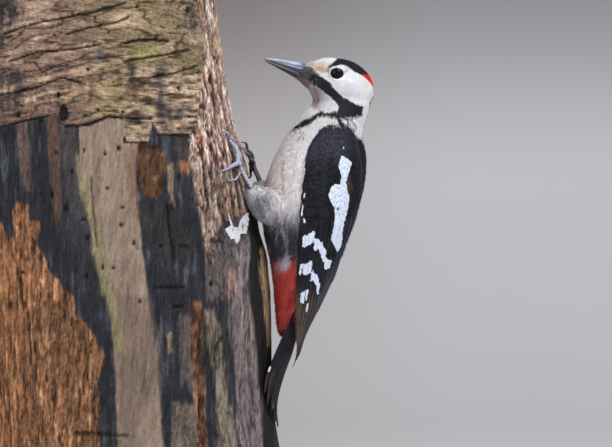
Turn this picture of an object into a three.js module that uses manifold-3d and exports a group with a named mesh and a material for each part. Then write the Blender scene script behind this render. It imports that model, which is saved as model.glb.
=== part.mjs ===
// A male Syrian woodpecker, life size, clinging to a short upright length of dead trunk on a display stand.
// Millimetres, +Z up. The trunk stands towards -X of the bird, the bird's back is towards +X and its left
// side towards -Y. The origin is the middle of the base's underside.

import * as THREE from "three";
import { LoftGeometry } from "three/addons/geometries/LoftGeometry.js";
import { mergeVertices } from "three/addons/utils/BufferGeometryUtils.js";
import Module from "manifold-3d";

const wasm = await Module();
wasm.setup();

const GAP = 0.3; // space kept between neighbouring pieces
const degrees = THREE.MathUtils.degToRad;
const { lerp, smoothstep } = THREE.MathUtils;

// ---------------------------------------------------------------- driving dimensions

const BASE = { length: 232, width: 160, height: 14, corner: 12, bevel: 1.5 };
const ROD = { radius: 5, spread: 62, sides: 16 };
const LOG = { bottom: 38, top: 306, axisX: -17, axisY: 8, oval: 0.06 };
// How many facets lie between these angles, which run round the log from the far side past the front.
const LOG_FACETS = [[-173, 15], [-63.6, 12], [63.6, 8]];
const LOG_SECTIONS = { below: 12, above: 14, from: 212 }; // closer together where the wood is ridged

// Height and x of the log's edge on the bird's side, then the straight far edge.
const LOG_EDGE = [
  [38, 62.4], [54, 59.9], [70, 57.3], [90, 56.8], [118, 56.6], [136, 55.8], [150, 53.6],
  [160, 49.8], [181, 46.4], [198, 44], [206, 42.6], [216, 38.6], [246, 32], [306, 24.2],
];
const LOG_FAR_EDGE = { atBottom: -96, atTop: -111 };
const LOG_LEDGE = { height: 221, rise: 4, step: 1.9 }; // the upper layer of wood stands proud
const LOG_RIDGES = { pitch: 19, slope: 0.075, rise: 1.5, from: 222 }; // sloping laps across the upper layer
const LOG_RIBS = [[3, 1.5, 60], [7, 0.9, -45]]; // how many round the log, height, mm a turn leans
const LOG_FINE = { count: 15, high: 0.7, lean: 35 };
// Hollows in the side that faces the viewer: x, height, half width, half height, depth.
const LOG_HOLLOWS = [[-7.5, 199, 9, 19, 2.6], [-78, 118, 30, 82, 2.4], [16.5, 94, 4.5, 34, 1.6]];
const LOG_GRIP = [45, 75]; // degrees either side of the bird within which the ribs and laps die away

// The head is lofted along its own axis, which tips the bill up. s runs back from the bill's root.
const HEAD_FRAME = { root: [73.8, 0, 250.2], tilt: degrees(18) };
const HEAD = [ // s, height of crown, depth of cheek, half width
  [-0.4, 4.6, 4.2, 4.2], [2.6, 7.2, 5.9, 6.4], [5.7, 9.8, 8, 8.6], [9, 11.8, 11.6, 10.5],
  [13, 12.9, 14, 12.3], [17.5, 13.9, 15, 13.5], [22, 14.4, 15, 14], [27, 13.6, 14, 13.6],
  [32, 11.6, 12, 12], [36, 8.6, 9, 9.3], [39, 5, 5.4, 5.6], [40.3, 1.6, 2, 2],
];
const EYE = { s: 17.6, up: 5.2, side: 8.2, radius: 5 };
const UPPER_BILL = [ // s, culmen, mouth line, half width
  [4, 5.6, -0.8, 4.7], [0, 5.2, -0.6, 4.4], [-6.7, 4.4, -0.3, 3.4], [-13.7, 3.3, 0, 2.3],
  [-20, 1.9, 0.25, 1.35], [-22.3, 1.1, 0.35, 0.8],
];
const LOWER_BILL = [ // s, mouth line, keel, half width
  [4, -1.1, -5.4, 4.4], [0, -0.9, -4.7, 4.1], [-6.7, -0.6, -3.2, 3.1], [-13.7, -0.3, -1.9, 2],
  [-19.5, -0.1, -0.8, 1.2], [-21.6, 0, -0.5, 0.7],
];

// Level rings down the body: height, breast edge, back edge, half width.
const BODY = [
  [240, 84, 108, 11], [234, 79, 110.4, 13.6], [229, 74.2, 109.8, 15.2], [223, 68.4, 107.2, 17.6],
  [216, 64.2, 106, 20.8], [206, 58.6, 108.2, 23.8], [190, 53.2, 107.3, 25.2], [175, 51.8, 103, 24.6],
  [164, 52.2, 97.2, 22.8], [152, 55.4, 89.6, 19.4], [138.5, 57.6, 82, 14.8], [125, 58.6, 76.4, 10.2],
  [113, 59.8, 69.4, 5.8], [107.5, 60.8, 64.4, 2.2],
];
// Each cut runs through a point, square to a direction in the body's upright middle plane.
const HEAD_CUT = { at: [95, 0, 231.5], slope: degrees(6) };
const NECK_CUT = { at: [86, 0, 213], slope: degrees(24) };

// Rings down the folded wing: height, front edge, back edge, ring centre, half width of the pair, thickness,
// and the angle between its back edge and the middle of the back.
const WING = [
  [222, 86, 98, 87.2, 20, 2.4, 56], [216, 79.6, 103.6, 85, 23.2, 3.6, 34],
  [205, 75.8, 107.2, 83, 27, 4.2, 21], [187, 73.6, 107.7, 79.8, 28.7, 4.4, 13],
  [171, 72.2, 104.2, 76.8, 27.8, 4.2, 8], [155, 70.9, 98, 73.8, 24.4, 4.4, 8],
  [140, 70.2, 92.8, 71.6, 20, 4, 8], [123, 70, 84.5, 70.6, 15.2, 2.8, 9], [107, 69.4, 76.1, 69.8, 11.4, 1.9, 12],
  [97, 68.8, 72.7, 69.1, 9.2, 1.4, 16], [91, 68, 69.2, 68.2, 7.9, 0.9, 20],
];
const WING_ACROSS = 9;

// Rings down the tail: height, x of its ridge, half width, drop from the ridge to the edges, thickness.
const TAIL = [
  [130, 77, 8, 2, 2.4], [118, 73.2, 10.5, 4, 2.4], [108, 70.6, 13, 6, 2.3], [99, 68.2, 15.4, 8, 2.2],
  [87, 63.9, 17.4, 9, 2], [77, 61, 16.6, 7, 1.8], [70, 59.9, 13.6, 4.4, 1.7], [64, 60, 9, 2, 1.6],
  [59.4, 60.8, 3.6, 0.5, 1.4],
];
const TAIL_ACROSS = 9;

// A leg, for the left side; the right one is its mirror image, set higher on the trunk.
const THIGH = {
  path: [[64, 12, 175], [55.6, 15, 178], [50, 16.4, 181.6], [46.6, 17, 187]],
  radii: [9, 9.2, 6.6, 2.7],
};
const TARSUS = { knee: [50, 16.4, 181], radii: [2, 1.5, 1.35, 1.6] };
const BALL = { lift: 2.7, radius: 2.1 };
const CLAW_RADII = [0.95, 0.75, 0.3];
// Toe 1 points down, 2 and 3 up, 4 out. Each runs over the bark from the ball of the foot, through two
// points of the toe and two of its claw, each given as [out from the ball, up from it, off the bark].
const LEGS = {
  left: {
    side: -1, higher: 0, outward: -0.6, ball: { y: 20.2, z: 199.9 },
    toes: [
      { radius: 1.15, toe: [[-0.4, -3.2, 2.4], [0.8, -6.2, 1.7]], claw: [[3.8, -8, 2.2], [7.4, -8.4, 0.4]] },
      { radius: 1.2, toe: [[-3, 4.6, 2.8], [-4, 9.4, 1.6]], claw: [[-3.8, 12.6, 2.3], [-2.4, 15, 0.4]] },
      { radius: 1.35, toe: [[-1.2, 7, 3], [-0.6, 13, 1.8]], claw: [[0, 16.2, 2.6], [1.6, 18.4, 0.4]] },
      { radius: 1.6, toe: [[2, 0.2, 3], [7, -2, 1.9]], claw: [[9.8, -2.8, 2.4], [13.2, -3.9, 0.4]] },
    ],
  },
  right: {
    side: 1, higher: 4.2, outward: 3.4, ball: { y: 13, z: 201.2 },
    toes: [
      { radius: 1.15, toe: [[2.4, -3, 2], [4.2, -5.2, 1.5]], claw: [[6.4, -6.8, 1.9], [8.6, -8.4, 0.4]] },
      { radius: 1.2, toe: [[-3.6, 1, 2.9], [-7.4, 2.6, 1.7]], claw: [[-11.4, 4.4, 2.5], [-16, 5.6, 0.4]] },
      { radius: 1.3, toe: [[-2.4, 4, 3.3], [-5.6, 7.2, 1.9]], claw: [[-8.2, 10.2, 2.7], [-11.2, 11.4, 0.4]] },
      { radius: 1.5, toe: [[3.4, 2.6, 3], [7, 5.4, 1.7]], claw: [[10, 7.6, 2.2], [13.4, 9.6, 0.4]] },
    ],
  },
};

// ---------------------------------------------------------------- making solids

// A smooth curve through rows of [at, value, value, ...]; called with a place, it gives the values there.
function through(rows) {
  const sorted = [...rows].sort((a, b) => a[0] - b[0]);
  const width = sorted[0].length - 1;
  const places = Float32Array.from(sorted, (row) => row[0]);
  const values = Float32Array.from(sorted.flatMap((row) => row.slice(1)));
  const curve = new THREE.CubicInterpolant(places, values, width, new Float32Array(width));
  return (at) => [...curve.evaluate(at)];
}

// A closed three.js geometry as a manifold-3d solid with its faces pointing out.
function solid(geometry) {
  const bare = new THREE.BufferGeometry();
  bare.setAttribute("position", geometry.getAttribute("position"));
  bare.setIndex(geometry.index);
  const merged = mergeVertices(bare, 1e-4);
  const corners = [];
  for (let i = 0; i < merged.index.count; i += 3) {
    const [a, b, c] = merged.index.array.slice(i, i + 3);
    if (a !== b && b !== c && c !== a) corners.push(a, b, c);
  }
  const vertProperties = merged.attributes.position.array;
  const make = (triVerts) => new wasm.Manifold(new wasm.Mesh({ numProp: 3, vertProperties, triVerts }));
  const made = make(Uint32Array.from(corners));
  return made.volume() > 0 ? made : make(Uint32Array.from(corners).reverse());
}

// A skin through rings of points, closed at both ends. The rings may run either way round.
function loft(sections) {
  const ringPoints = sections[sections.length >> 1];
  const travel = sections.at(-1)[0].clone().sub(sections[0][0]);
  const facing = new THREE.Vector3();
  ringPoints.forEach((point, i) => facing.add(point.clone().cross(ringPoints[(i + 1) % ringPoints.length])));
  const rings = facing.dot(travel) > 0 ? sections : sections.map((points) => [...points].reverse());
  return solid(new LoftGeometry(rings, { capStart: true, capEnd: true }));
}

function mesh(name, part, material) {
  const made = part.getMesh();
  const geometry = new THREE.BufferGeometry();
  geometry.setAttribute("position", new THREE.BufferAttribute(made.vertProperties, 3));
  geometry.setIndex(new THREE.BufferAttribute(made.triVerts, 1));
  geometry.computeVertexNormals();
  const result = new THREE.Mesh(geometry, material);
  result.name = name;
  return result;
}

function placesBetween(from, to, count) {
  return Array.from({ length: count }, (_, i) => lerp(from, to, i / (count - 1)));
}

function ring(count, point) {
  return Array.from({ length: count }, (_, i) => point((i / count) * Math.PI * 2));
}

// A round tube along a smooth path, whose radius runs through the given radii.
function taperedTube(points, radii, around, along) {
  const path = new THREE.CatmullRomCurve3(points);
  const radiusAt = through(radii.map((radius, i) => [i / (radii.length - 1), radius]));
  const frames = path.computeFrenetFrames(along - 1, false);
  const sections = placesBetween(0, 1, along).map((t, i) => {
    const [radius] = radiusAt(t);
    return ring(around, (angle) =>
      path.getPoint(t)
        .addScaledVector(frames.normals[i], radius * Math.cos(angle))
        .addScaledVector(frames.binormals[i], radius * Math.sin(angle)));
  });
  return loft(sections);
}

function ball(centre, radius, around = 12, along = 8) {
  return solid(new THREE.SphereGeometry(radius, around, along).translate(centre.x, centre.y, centre.z));
}

// A large block whose top face passes through the point, tilted by slope about the y axis.
function blockBelow(point, slope, drop) {
  const size = 400;
  const block = new THREE.BoxGeometry(size, size, size).translate(0, 0, -size / 2 - drop);
  block.rotateY(slope).translate(...point);
  return solid(block);
}

// ---------------------------------------------------------------- the log

const logEdge = through(LOG_EDGE);

// The log's outline at a height, as its middle and the distance from it to the bark at an angle.
function logRing(height) {
  const [near] = logEdge(height);
  const share = (height - LOG.bottom) / (LOG.top - LOG.bottom);
  const far = lerp(LOG_FAR_EDGE.atBottom, LOG_FAR_EDGE.atTop, share);
  const mean = (near - far) / 2 / (1 + LOG.oval);
  const centre = (near + far) / 2;
  const ledge = LOG_LEDGE.step * smoothstep(height, LOG_LEDGE.height - LOG_LEDGE.rise, LOG_LEDGE.height);
  const radius = (angle) => {
    const away = Math.sin(angle / 2) ** 2; // 0 where the bird clings, 1 on the far side
    const free = smoothstep(Math.abs(angle), ...LOG_GRIP.map(degrees));
    const plain = mean * (1 + LOG.oval * Math.cos(2 * angle));
    const x = centre + plain * Math.cos(angle);
    const ribs = LOG_RIBS.reduce((sum, [count, high, lean]) => sum + high * Math.sin(count * angle + height / lean), 0);
    const lap = (height - LOG_RIDGES.from - LOG_RIDGES.slope * x) / LOG_RIDGES.pitch + 0.2 * Math.sin(3 * angle);
    const ridges = height > LOG_RIDGES.from ? LOG_RIDGES.rise * (lap - Math.floor(lap) - 0.5) : 0;
    const facing = smoothstep(-Math.sin(angle), 0.1, 0.5);
    const hollows = LOG_HOLLOWS.reduce((sum, [at, level, wide, high, deep]) => {
      const gone = Math.hypot((x - at) / wide, (height - level) / high);
      return sum + deep * (1 - smoothstep(gone, 0.75, 1.25));
    }, 0);
    const fine = LOG_FINE.high * Math.sin(LOG_FINE.count * angle + height / LOG_FINE.lean);
    return plain + away * (ribs + ledge) + free * (fine + ridges - facing * hollows);
  };
  return { centre, radius };
}

// The bark's x on the bird's side, at a sideways place and a height.
function barkX(y, height) {
  const { centre, radius } = logRing(height);
  let low = -Math.PI / 2;
  let high = Math.PI / 2;
  for (let i = 0; i < 40; i++) {
    const angle = (low + high) / 2;
    if (radius(angle) * Math.sin(angle) < y - LOG.axisY) low = angle;
    else high = angle;
  }
  return centre + radius(low) * Math.cos(low);
}

// A point lifted off the bark, square to it.
function overBark(y, height, lift) {
  const step = 0.5;
  const acrossSlope = (barkX(y + step, height) - barkX(y - step, height)) / (2 * step);
  const upSlope = (barkX(y, height + step) - barkX(y, height - step)) / (2 * step);
  const outward = new THREE.Vector3(1, -acrossSlope, -upSlope).normalize();
  return new THREE.Vector3(barkX(y, height), y, height).addScaledVector(outward, lift);
}

function makeLog() {
  const { below, above, from } = LOG_SECTIONS;
  const heights = [...placesBetween(LOG.bottom, from, below), ...placesBetween(from, LOG.top, above).slice(1)];
  const angles = LOG_FACETS.flatMap(([start, count], i) => {
    const end = i + 1 < LOG_FACETS.length ? LOG_FACETS[i + 1][0] : LOG_FACETS[0][0] + 360;
    return placesBetween(start, end, count + 1).slice(0, -1).map(degrees);
  });
  return loft(heights.map((height) => {
    const { centre, radius } = logRing(height);
    return angles.map((angle) => {
      const r = radius(angle);
      return new THREE.Vector3(centre + r * Math.cos(angle), LOG.axisY + r * Math.sin(angle), height);
    });
  }));
}

// ---------------------------------------------------------------- head, neck and body

const headBack = new THREE.Vector3(Math.cos(HEAD_FRAME.tilt), 0, -Math.sin(HEAD_FRAME.tilt));
const headUp = new THREE.Vector3(Math.sin(HEAD_FRAME.tilt), 0, Math.cos(HEAD_FRAME.tilt));

function headPoint(s, up, side) {
  return new THREE.Vector3(...HEAD_FRAME.root)
    .addScaledVector(headBack, s)
    .addScaledVector(headUp, up)
    .add(new THREE.Vector3(0, side, 0));
}

function makeHead(grow = 0) {
  const shape = through(HEAD);
  const from = HEAD[0][0] - grow;
  const to = HEAD.at(-1)[0] + grow;
  return loft(placesBetween(from, to, 14).map((s) => {
    const [crown, cheek, half] = shape(s).map((size) => size + grow);
    return ring(22, (angle) => {
      const rise = Math.sin(angle);
      return headPoint(s, rise * (rise > 0 ? crown : cheek), half * Math.cos(angle));
    });
  }));
}

// The mouth's two halves are half ovals, flat where they meet.
function makeBill(rows, edge, flat) {
  const shape = through(rows);
  const places = placesBetween(rows[0][0], rows.at(-1)[0], 9);
  return loft(places.map((s) => {
    const sizes = shape(s);
    const half = sizes[2];
    return Array.from({ length: 9 }, (_, i) => {
      const angle = (i / 8) * Math.PI;
      return headPoint(s, lerp(sizes[flat], sizes[edge], Math.sin(angle)), half * Math.cos(angle));
    });
  }));
}

function makeBody(grow = 0) {
  const shape = through(BODY);
  const places = placesBetween(BODY[0][0] + grow, BODY.at(-1)[0] - grow, 21);
  return loft(places.map((height) => {
    const [breast, back, half] = shape(height);
    const middle = (breast + back) / 2;
    const deep = (back - breast) / 2 + grow;
    return ring(24, (angle) => new THREE.Vector3(
      middle + deep * Math.cos(angle), (half + grow) * Math.sin(angle), height));
  }));
}

// ---------------------------------------------------------------- wings and tail

// A wing is a shell that wraps the flank: an outer arc from front edge to back edge, and an inner arc back.
function makeWing(side, grow = 0) {
  const shape = through(WING);
  const places = placesBetween(WING[0][0] + grow, WING.at(-1)[0] - grow, 17);
  return loft(places.map((height) => {
    const [front, back, middle, half, thick, backAngle] = shape(height);
    const last = degrees(backAngle);
    const deep = (back - middle) / Math.cos(last);
    const first = Math.acos(THREE.MathUtils.clamp((front - middle) / deep, -1, 1));
    const arc = (across, inset) => {
      const angle = lerp(first, last, across);
      const x = middle + (deep - inset) * Math.cos(angle);
      return new THREE.Vector3(x, side * (half - inset) * Math.sin(angle), height);
    };
    const outer = placesBetween(0, 1, WING_ACROSS).map((across) => {
      const fall = 0.65 * thick * (2 * across - 1) ** 6;
      return arc(across, fall - grow);
    });
    const inner = placesBetween(1, 0, WING_ACROSS).map((across) => arc(across, thick + grow));
    return [...outer, ...inner];
  }));
}

// The tail is a ridged plate whose edges lean on the bark.
function makeTail() {
  const shape = through(TAIL);
  return loft(placesBetween(TAIL[0][0], TAIL.at(-1)[0], 13).map((height) => {
    const [ridge, half, drop, thick] = shape(height);
    const point = (across, isInner) => {
      const y = half * across;
      const outer = ridge - drop * across ** 2;
      const inner = outer - thick * (1 - 0.5 * across ** 2);
      const pushed = Math.max(0, barkX(y, height) + 1.5 * GAP - inner);
      return new THREE.Vector3((isInner ? inner : outer) + pushed, y, height);
    };
    const outer = placesBetween(-1, 1, TAIL_ACROSS).map((across) => point(across, false));
    const inner = placesBetween(1, -1, TAIL_ACROSS).map((across) => point(across, true));
    return [...outer, ...inner];
  }));
}

// ---------------------------------------------------------------- legs

function makeLeg(leg) {
  const place = ([x, y, z]) => new THREE.Vector3(x + leg.outward, leg.side * y, z + leg.higher);
  const onBark = ([out, up, lift]) => overBark(leg.side * (leg.ball.y + out), leg.ball.z + up, lift);
  const ballCentre = onBark([0, 0, BALL.lift]);
  const thigh = (grow) => {
    const radii = THIGH.radii.map((radius) => radius + grow);
    return taperedTube(THIGH.path.map(place), radii, 14, 9);
  };
  const footShape = (grow) => leg.toes
    .map(({ toe, radius }) => {
      const radii = [radius * 1.1, radius, radius * 0.62].map((size) => size + grow);
      return taperedTube([ballCentre, ...toe.map(onBark)], radii, 6, 6);
    })
    .reduce((foot, toe) => foot.add(toe), ball(ballCentre, BALL.radius + grow, 10, 6));
  const knee = place(TARSUS.knee);
  const shin = [0, 0.35, 0.7, 1].map((share) => knee.clone().lerp(ballCentre, share));
  const tarsus = taperedTube(shin, TARSUS.radii, 8, 5).subtract(thigh(GAP)).subtract(footShape(GAP));
  const claws = leg.toes.map(({ toe, claw }) => {
    const toeEnd = onBark(toe.at(-1));
    const [middle, tip] = claw.map(onBark);
    const start = toeEnd.clone().lerp(middle, (1.6 * GAP) / toeEnd.distanceTo(middle));
    return taperedTube([start, middle, tip], CLAW_RADII, 6, 6);
  });
  return { thigh: thigh(0), tarsus, foot: footShape(0), claws };
}

// ---------------------------------------------------------------- stand

function makeBase() {
  const { length, width, height, corner, bevel } = BASE;
  const x = length / 2 - bevel;
  const y = width / 2 - bevel;
  const outline = new THREE.Shape();
  outline.moveTo(-x + corner, -y);
  outline.lineTo(x - corner, -y);
  outline.absarc(x - corner, -y + corner, corner, -Math.PI / 2, 0);
  outline.absarc(x - corner, y - corner, corner, 0, Math.PI / 2);
  outline.absarc(-x + corner, y - corner, corner, Math.PI / 2, Math.PI);
  outline.absarc(-x + corner, -y + corner, corner, Math.PI, Math.PI * 1.5);
  const depth = height - 2 * bevel;
  const edges = { bevelSize: bevel, bevelThickness: bevel, bevelSegments: 1, curveSegments: 3 };
  return solid(new THREE.ExtrudeGeometry(outline, { depth, ...edges }).translate(0, 0, bevel));
}

function makeRod(x) {
  const from = BASE.height + GAP;
  const to = LOG.bottom - GAP;
  const rod = new THREE.CylinderGeometry(ROD.radius, ROD.radius, to - from, ROD.sides).rotateX(Math.PI / 2);
  return solid(rod.translate(x, LOG.axisY, (from + to) / 2));
}

// ---------------------------------------------------------------- the whole model

function finish(color, roughness, metalness = 0) {
  return new THREE.MeshStandardMaterial({ color, roughness, metalness });
}

const materials = {
  paleFeathers: finish(0xd9d4ce, 0.85),
  darkFeathers: finish(0x16161a, 0.7),
  greyFeathers: finish(0x8f8d90, 0.9),
  horn: finish(0x5d6672, 0.35),
  eye: finish(0x140a08, 0.05),
  scales: finish(0x74777f, 0.55),
  claw: finish(0x6a6c76, 0.35),
  wood: finish(0x8a7558, 0.9),
  stand: finish(0x2b2b2d, 0.5),
  steel: finish(0xb0b2b5, 0.3, 1),
};

const bird = new THREE.Group();

const eyes = { left: headPoint(EYE.s, EYE.up, -EYE.side), right: headPoint(EYE.s, EYE.up, EYE.side) };
// Head, neck and body are modelled whole and parted by two thin cuts.
const flesh = makeHead()
  .add(makeBody())
  .subtract(ball(eyes.left, EYE.radius + GAP / 2))
  .subtract(ball(eyes.right, EYE.radius + GAP / 2));
const belowHead = blockBelow(HEAD_CUT.at, HEAD_CUT.slope, 0);
const belowHeadGap = blockBelow(HEAD_CUT.at, HEAD_CUT.slope, GAP);
const belowNeck = blockBelow(NECK_CUT.at, NECK_CUT.slope, 0);
const belowNeckGap = blockBelow(NECK_CUT.at, NECK_CUT.slope, GAP);
bird.add(mesh("head", flesh.subtract(belowHead), materials.paleFeathers));
bird.add(mesh("neck", flesh.intersect(belowHeadGap).subtract(belowNeck), materials.paleFeathers));
bird.add(mesh("torso", flesh.intersect(belowNeckGap), materials.paleFeathers));

const headAndGap = makeHead(GAP);
bird.add(mesh("bill_upper", makeBill(UPPER_BILL, 0, 1).subtract(headAndGap), materials.horn));
bird.add(mesh("bill_lower", makeBill(LOWER_BILL, 1, 0).subtract(headAndGap), materials.horn));
for (const [side, centre] of Object.entries(eyes)) {
  bird.add(mesh("eye_" + side, ball(centre, EYE.radius), materials.eye));
}

const bodyAndGap = makeBody(GAP);
const wingsAndGap = makeWing(-1, GAP).add(makeWing(1, GAP));
for (const [name, { side }] of Object.entries(LEGS)) {
  bird.add(mesh("wing_" + name, makeWing(side).subtract(bodyAndGap), materials.darkFeathers));
}
bird.add(mesh("tail", makeTail().subtract(bodyAndGap).subtract(wingsAndGap), materials.darkFeathers));

for (const [name, leg] of Object.entries(LEGS)) {
  const { thigh, tarsus, foot, claws } = makeLeg(leg);
  const group = new THREE.Group();
  group.add(mesh("thigh_" + name, thigh.subtract(bodyAndGap), materials.greyFeathers));
  group.add(mesh("tarsus_" + name, tarsus, materials.scales));
  group.add(mesh("foot_" + name, foot, materials.scales));
  claws.forEach((claw, i) => group.add(mesh(`claw_${name}_${i + 1}`, claw, materials.claw)));
  bird.add(group);
}

const mount = new THREE.Group();
mount.add(mesh("perch_log", makeLog(), materials.wood));
mount.add(mesh("stand_base", makeBase(), materials.stand));
mount.add(mesh("stand_rod_near_bird", makeRod(LOG.axisX + ROD.spread / 2), materials.steel));
mount.add(mesh("stand_rod_far_side", makeRod(LOG.axisX - ROD.spread / 2), materials.steel));

const model = new THREE.Group();
model.add(bird, mount);

export default model;
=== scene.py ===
"""Dresses the still woodpecker on its trunk: skin, plumage, bill, eyes, feet, trunk, stand and studio."""

import math

import bmesh
import bpy
import numpy as np
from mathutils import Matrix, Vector
from mathutils.bvhtree import BVHTree


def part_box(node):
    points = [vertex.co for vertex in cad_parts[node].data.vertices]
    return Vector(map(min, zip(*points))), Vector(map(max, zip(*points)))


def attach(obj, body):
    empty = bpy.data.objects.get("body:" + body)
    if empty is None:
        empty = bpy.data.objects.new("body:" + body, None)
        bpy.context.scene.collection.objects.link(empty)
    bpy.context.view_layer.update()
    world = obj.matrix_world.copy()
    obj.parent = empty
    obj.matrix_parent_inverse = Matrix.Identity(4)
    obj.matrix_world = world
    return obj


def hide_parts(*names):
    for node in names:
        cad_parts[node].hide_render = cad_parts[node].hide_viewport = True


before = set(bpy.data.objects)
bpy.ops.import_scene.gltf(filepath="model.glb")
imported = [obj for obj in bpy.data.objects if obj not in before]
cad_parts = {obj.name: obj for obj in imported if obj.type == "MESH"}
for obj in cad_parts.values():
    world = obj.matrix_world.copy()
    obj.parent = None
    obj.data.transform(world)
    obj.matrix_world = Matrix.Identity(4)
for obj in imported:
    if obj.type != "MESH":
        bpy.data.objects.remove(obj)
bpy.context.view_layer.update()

bl_info = {
    "name": "Woodpecker on a trunk",
    "version": (1, 0, 0),
    "blender": (4, 5, 0),
    "location": "3D View > Sidebar > Woodpecker",
    "description": "Dresses a still woodpecker with skin, plumage, bill, eyes, feet, trunk and stand",
    "category": "Object",
}

# Lengths in the tables below are millimetres; x runs from the belly to the back, z up, and y < 0 is left.
MM = 0.001
SIDE_NAMES = {-1: "left", 1: "right"}
# The solids that the skin stands for.
FLESH = [
    "head", "neck", "torso", "wing_left", "wing_right", "tail",
    "thigh_left", "thigh_right", "tarsus_left", "tarsus_right", "foot_left", "foot_right",
]
# The view square to the flank in which markings are laid out: how far off it is watched, and its middle.
WATCHED_FROM = 1838.0
WATCHED_POINT = (75.4, 168.8)

# The head's own frame: root of the bill, and how far the crown leans back.
HEAD_ROOT = np.array([73.8, 0.0, 250.2])
HEAD_LEAN = math.radians(18)
HEAD_BACK = np.array([math.cos(HEAD_LEAN), 0.0, -math.sin(HEAD_LEAN)])
HEAD_UP = np.array([math.sin(HEAD_LEAN), 0.0, math.cos(HEAD_LEAN)])
EYE_PLACE = {"back": 17.6, "up": 5.2, "out": 8.2, "radius": 5.0}
# Half the width and height of the opening between the lids, and how far it lies below the eye's middle.
EYE_OPENING = (3.5, 2.85, -0.33)

# Rings down a folded wing: height, front x, back x, centre x, half width, thickness, back angle.
WING = [
    (222, 86, 98, 87.2, 20, 2.4, 56), (216, 79.6, 103.6, 85, 23.2, 3.6, 34),
    (205, 75.8, 107.2, 83, 27, 4.2, 21), (187, 73.6, 107.7, 79.8, 28.7, 4.4, 13),
    (171, 72.2, 104.2, 76.8, 27.8, 4.2, 8), (155, 70.9, 98, 73.8, 24.4, 4.4, 8),
    (140, 70.2, 92.8, 71.6, 20, 4, 8), (123, 70, 84.5, 70.6, 15.2, 2.8, 9),
    (107, 69.4, 76.1, 69.8, 11.4, 1.9, 12), (97, 68.8, 72.7, 69.1, 9.2, 1.4, 16),
    (91, 68, 69.2, 68.2, 7.9, 0.9, 20),
]
# Rings down the tail: height, x of its ridge, half width, drop from the ridge to the edges, thickness.
TAIL = [
    (130, 77, 8, 2, 2.4), (118, 73.2, 10.5, 4, 2.4), (108, 70.6, 13, 6, 2.3), (99, 68.2, 15.4, 8, 2.2),
    (87, 63.9, 17.4, 9, 2), (77, 61, 16.6, 7, 1.8), (70, 59.9, 13.6, 4.4, 1.7), (64, 60, 9, 2, 1.6),
    (59.4, 60.8, 3.6, 0.5, 1.4),
]

# What one operator makes and a later one needs: trees of surfaces, the skin's unwrap.
SHARED = {}


# ---------------------------------------------------------------- numbers

def paint(red, green, blue):
    """A colour on the usual 0 to 255 scale as the linear values that shaders use."""
    shares = [channel / 255 for channel in (red, green, blue)]
    linear = [s / 12.92 if s <= 0.04045 else ((s + 0.055) / 1.055) ** 2.4 for s in shares]
    return (*linear, 1.0)


def tone(red, green, blue):
    """The same colour as an array of three."""
    return np.array(paint(red, green, blue)[:3])


def ramp(low, high, values):
    """0 below low, 1 above high, smooth between; low may lie above high."""
    share = np.clip((values - low) / (high - low), 0, 1)
    return share * share * (3 - 2 * share)


def bell(values, middle, width):
    """1 where values are at a middle, falling off smoothly on both sides."""
    return np.exp(-(((values - middle) / width) ** 2))


def mixed(first, second, share):
    """Blends rows of colours or vectors by a share for each row."""
    share = np.asarray(share)[..., None]
    return first * (1 - share) + second * share


def layered(colour, *layers):
    """Lays colours over a first one in turn; each layer is a colour and its share, for each point."""
    for shade, share in layers:
        colour = mixed(colour, shade, np.clip(share, 0, 1))
    return colour


def unit(vectors):
    """Vectors at length one."""
    length = np.linalg.norm(vectors, axis=-1, keepdims=True)
    return vectors / np.maximum(length, 1e-9)


def scatter(cells, seed):
    """A fixed pseudo-random number from 0 to 1 for each whole-number cell."""
    mash = np.int64(seed * 374761393)
    for axis, factor in enumerate((668265263, 2147483629, 1274126177)):
        mash = mash ^ (cells[..., axis] * factor)
        mash = (mash ^ (mash >> 15)) * 2246822519 & 0xFFFFFFFF
    mash = (mash ^ (mash >> 13)) * 3266489917 & 0xFFFFFFFF
    return ((mash ^ (mash >> 16)) & 0xFFFFFF) / 0xFFFFFF


def cloud(points, size, seed=1, octaves=3):
    """Smooth noise from about -1 to 1; size is the width of its blobs, one number or one for each axis."""
    total = 0.0
    weight = 1.0
    place = np.asarray(points, float) / np.asarray(size, float)
    for octave in range(octaves):
        base = np.floor(place)
        part = place - base
        part = part * part * (3 - 2 * part)
        base = base.astype(np.int64)
        value = 0.0
        for corner in range(8):
            step = np.array([corner & 1, corner >> 1 & 1, corner >> 2 & 1])
            share = np.prod(np.where(step == 1, part, 1 - part), axis=-1)
            value = value + share * scatter(base + step, seed + 31 * octave)
        total = total + weight * (2 * value - 1)
        weight *= 0.5
        place = place * 2.03 + 11.7
    return total / (2 - 2 * weight)


def curve_through(rows):
    """A smooth curve through rows of (at, value, value, ...), as a function of at."""
    table = np.array(sorted(rows), float)
    at, values = table[:, 0], table[:, 1:]
    slope = np.gradient(values, at, axis=0)

    def curve(where):
        where = np.clip(np.asarray(where, float), at[0], at[-1])
        index = np.clip(np.searchsorted(at, where, side="right") - 1, 0, len(at) - 2)
        span = (at[index + 1] - at[index])[..., None]
        t = (where - at[index])[..., None] / span
        start = (1 + 2 * t) * (1 - t) ** 2 * values[index] + t * (1 - t) ** 2 * span * slope[index]
        end = t * t * (3 - 2 * t) * values[index + 1] + t * t * (t - 1) * span * slope[index + 1]
        return start + end

    return curve


def side_view(points):
    """Where points stand in a view square to the bird's flank, from where it is watched, on both flanks."""
    nearer = WATCHED_FROM / (WATCHED_FROM - np.abs(points[..., 1]))
    across = WATCHED_POINT[0] + (points[..., 0] - WATCHED_POINT[0]) * nearer
    height = WATCHED_POINT[1] + (points[..., 2] - WATCHED_POINT[1]) * nearer
    return across, height


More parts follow.
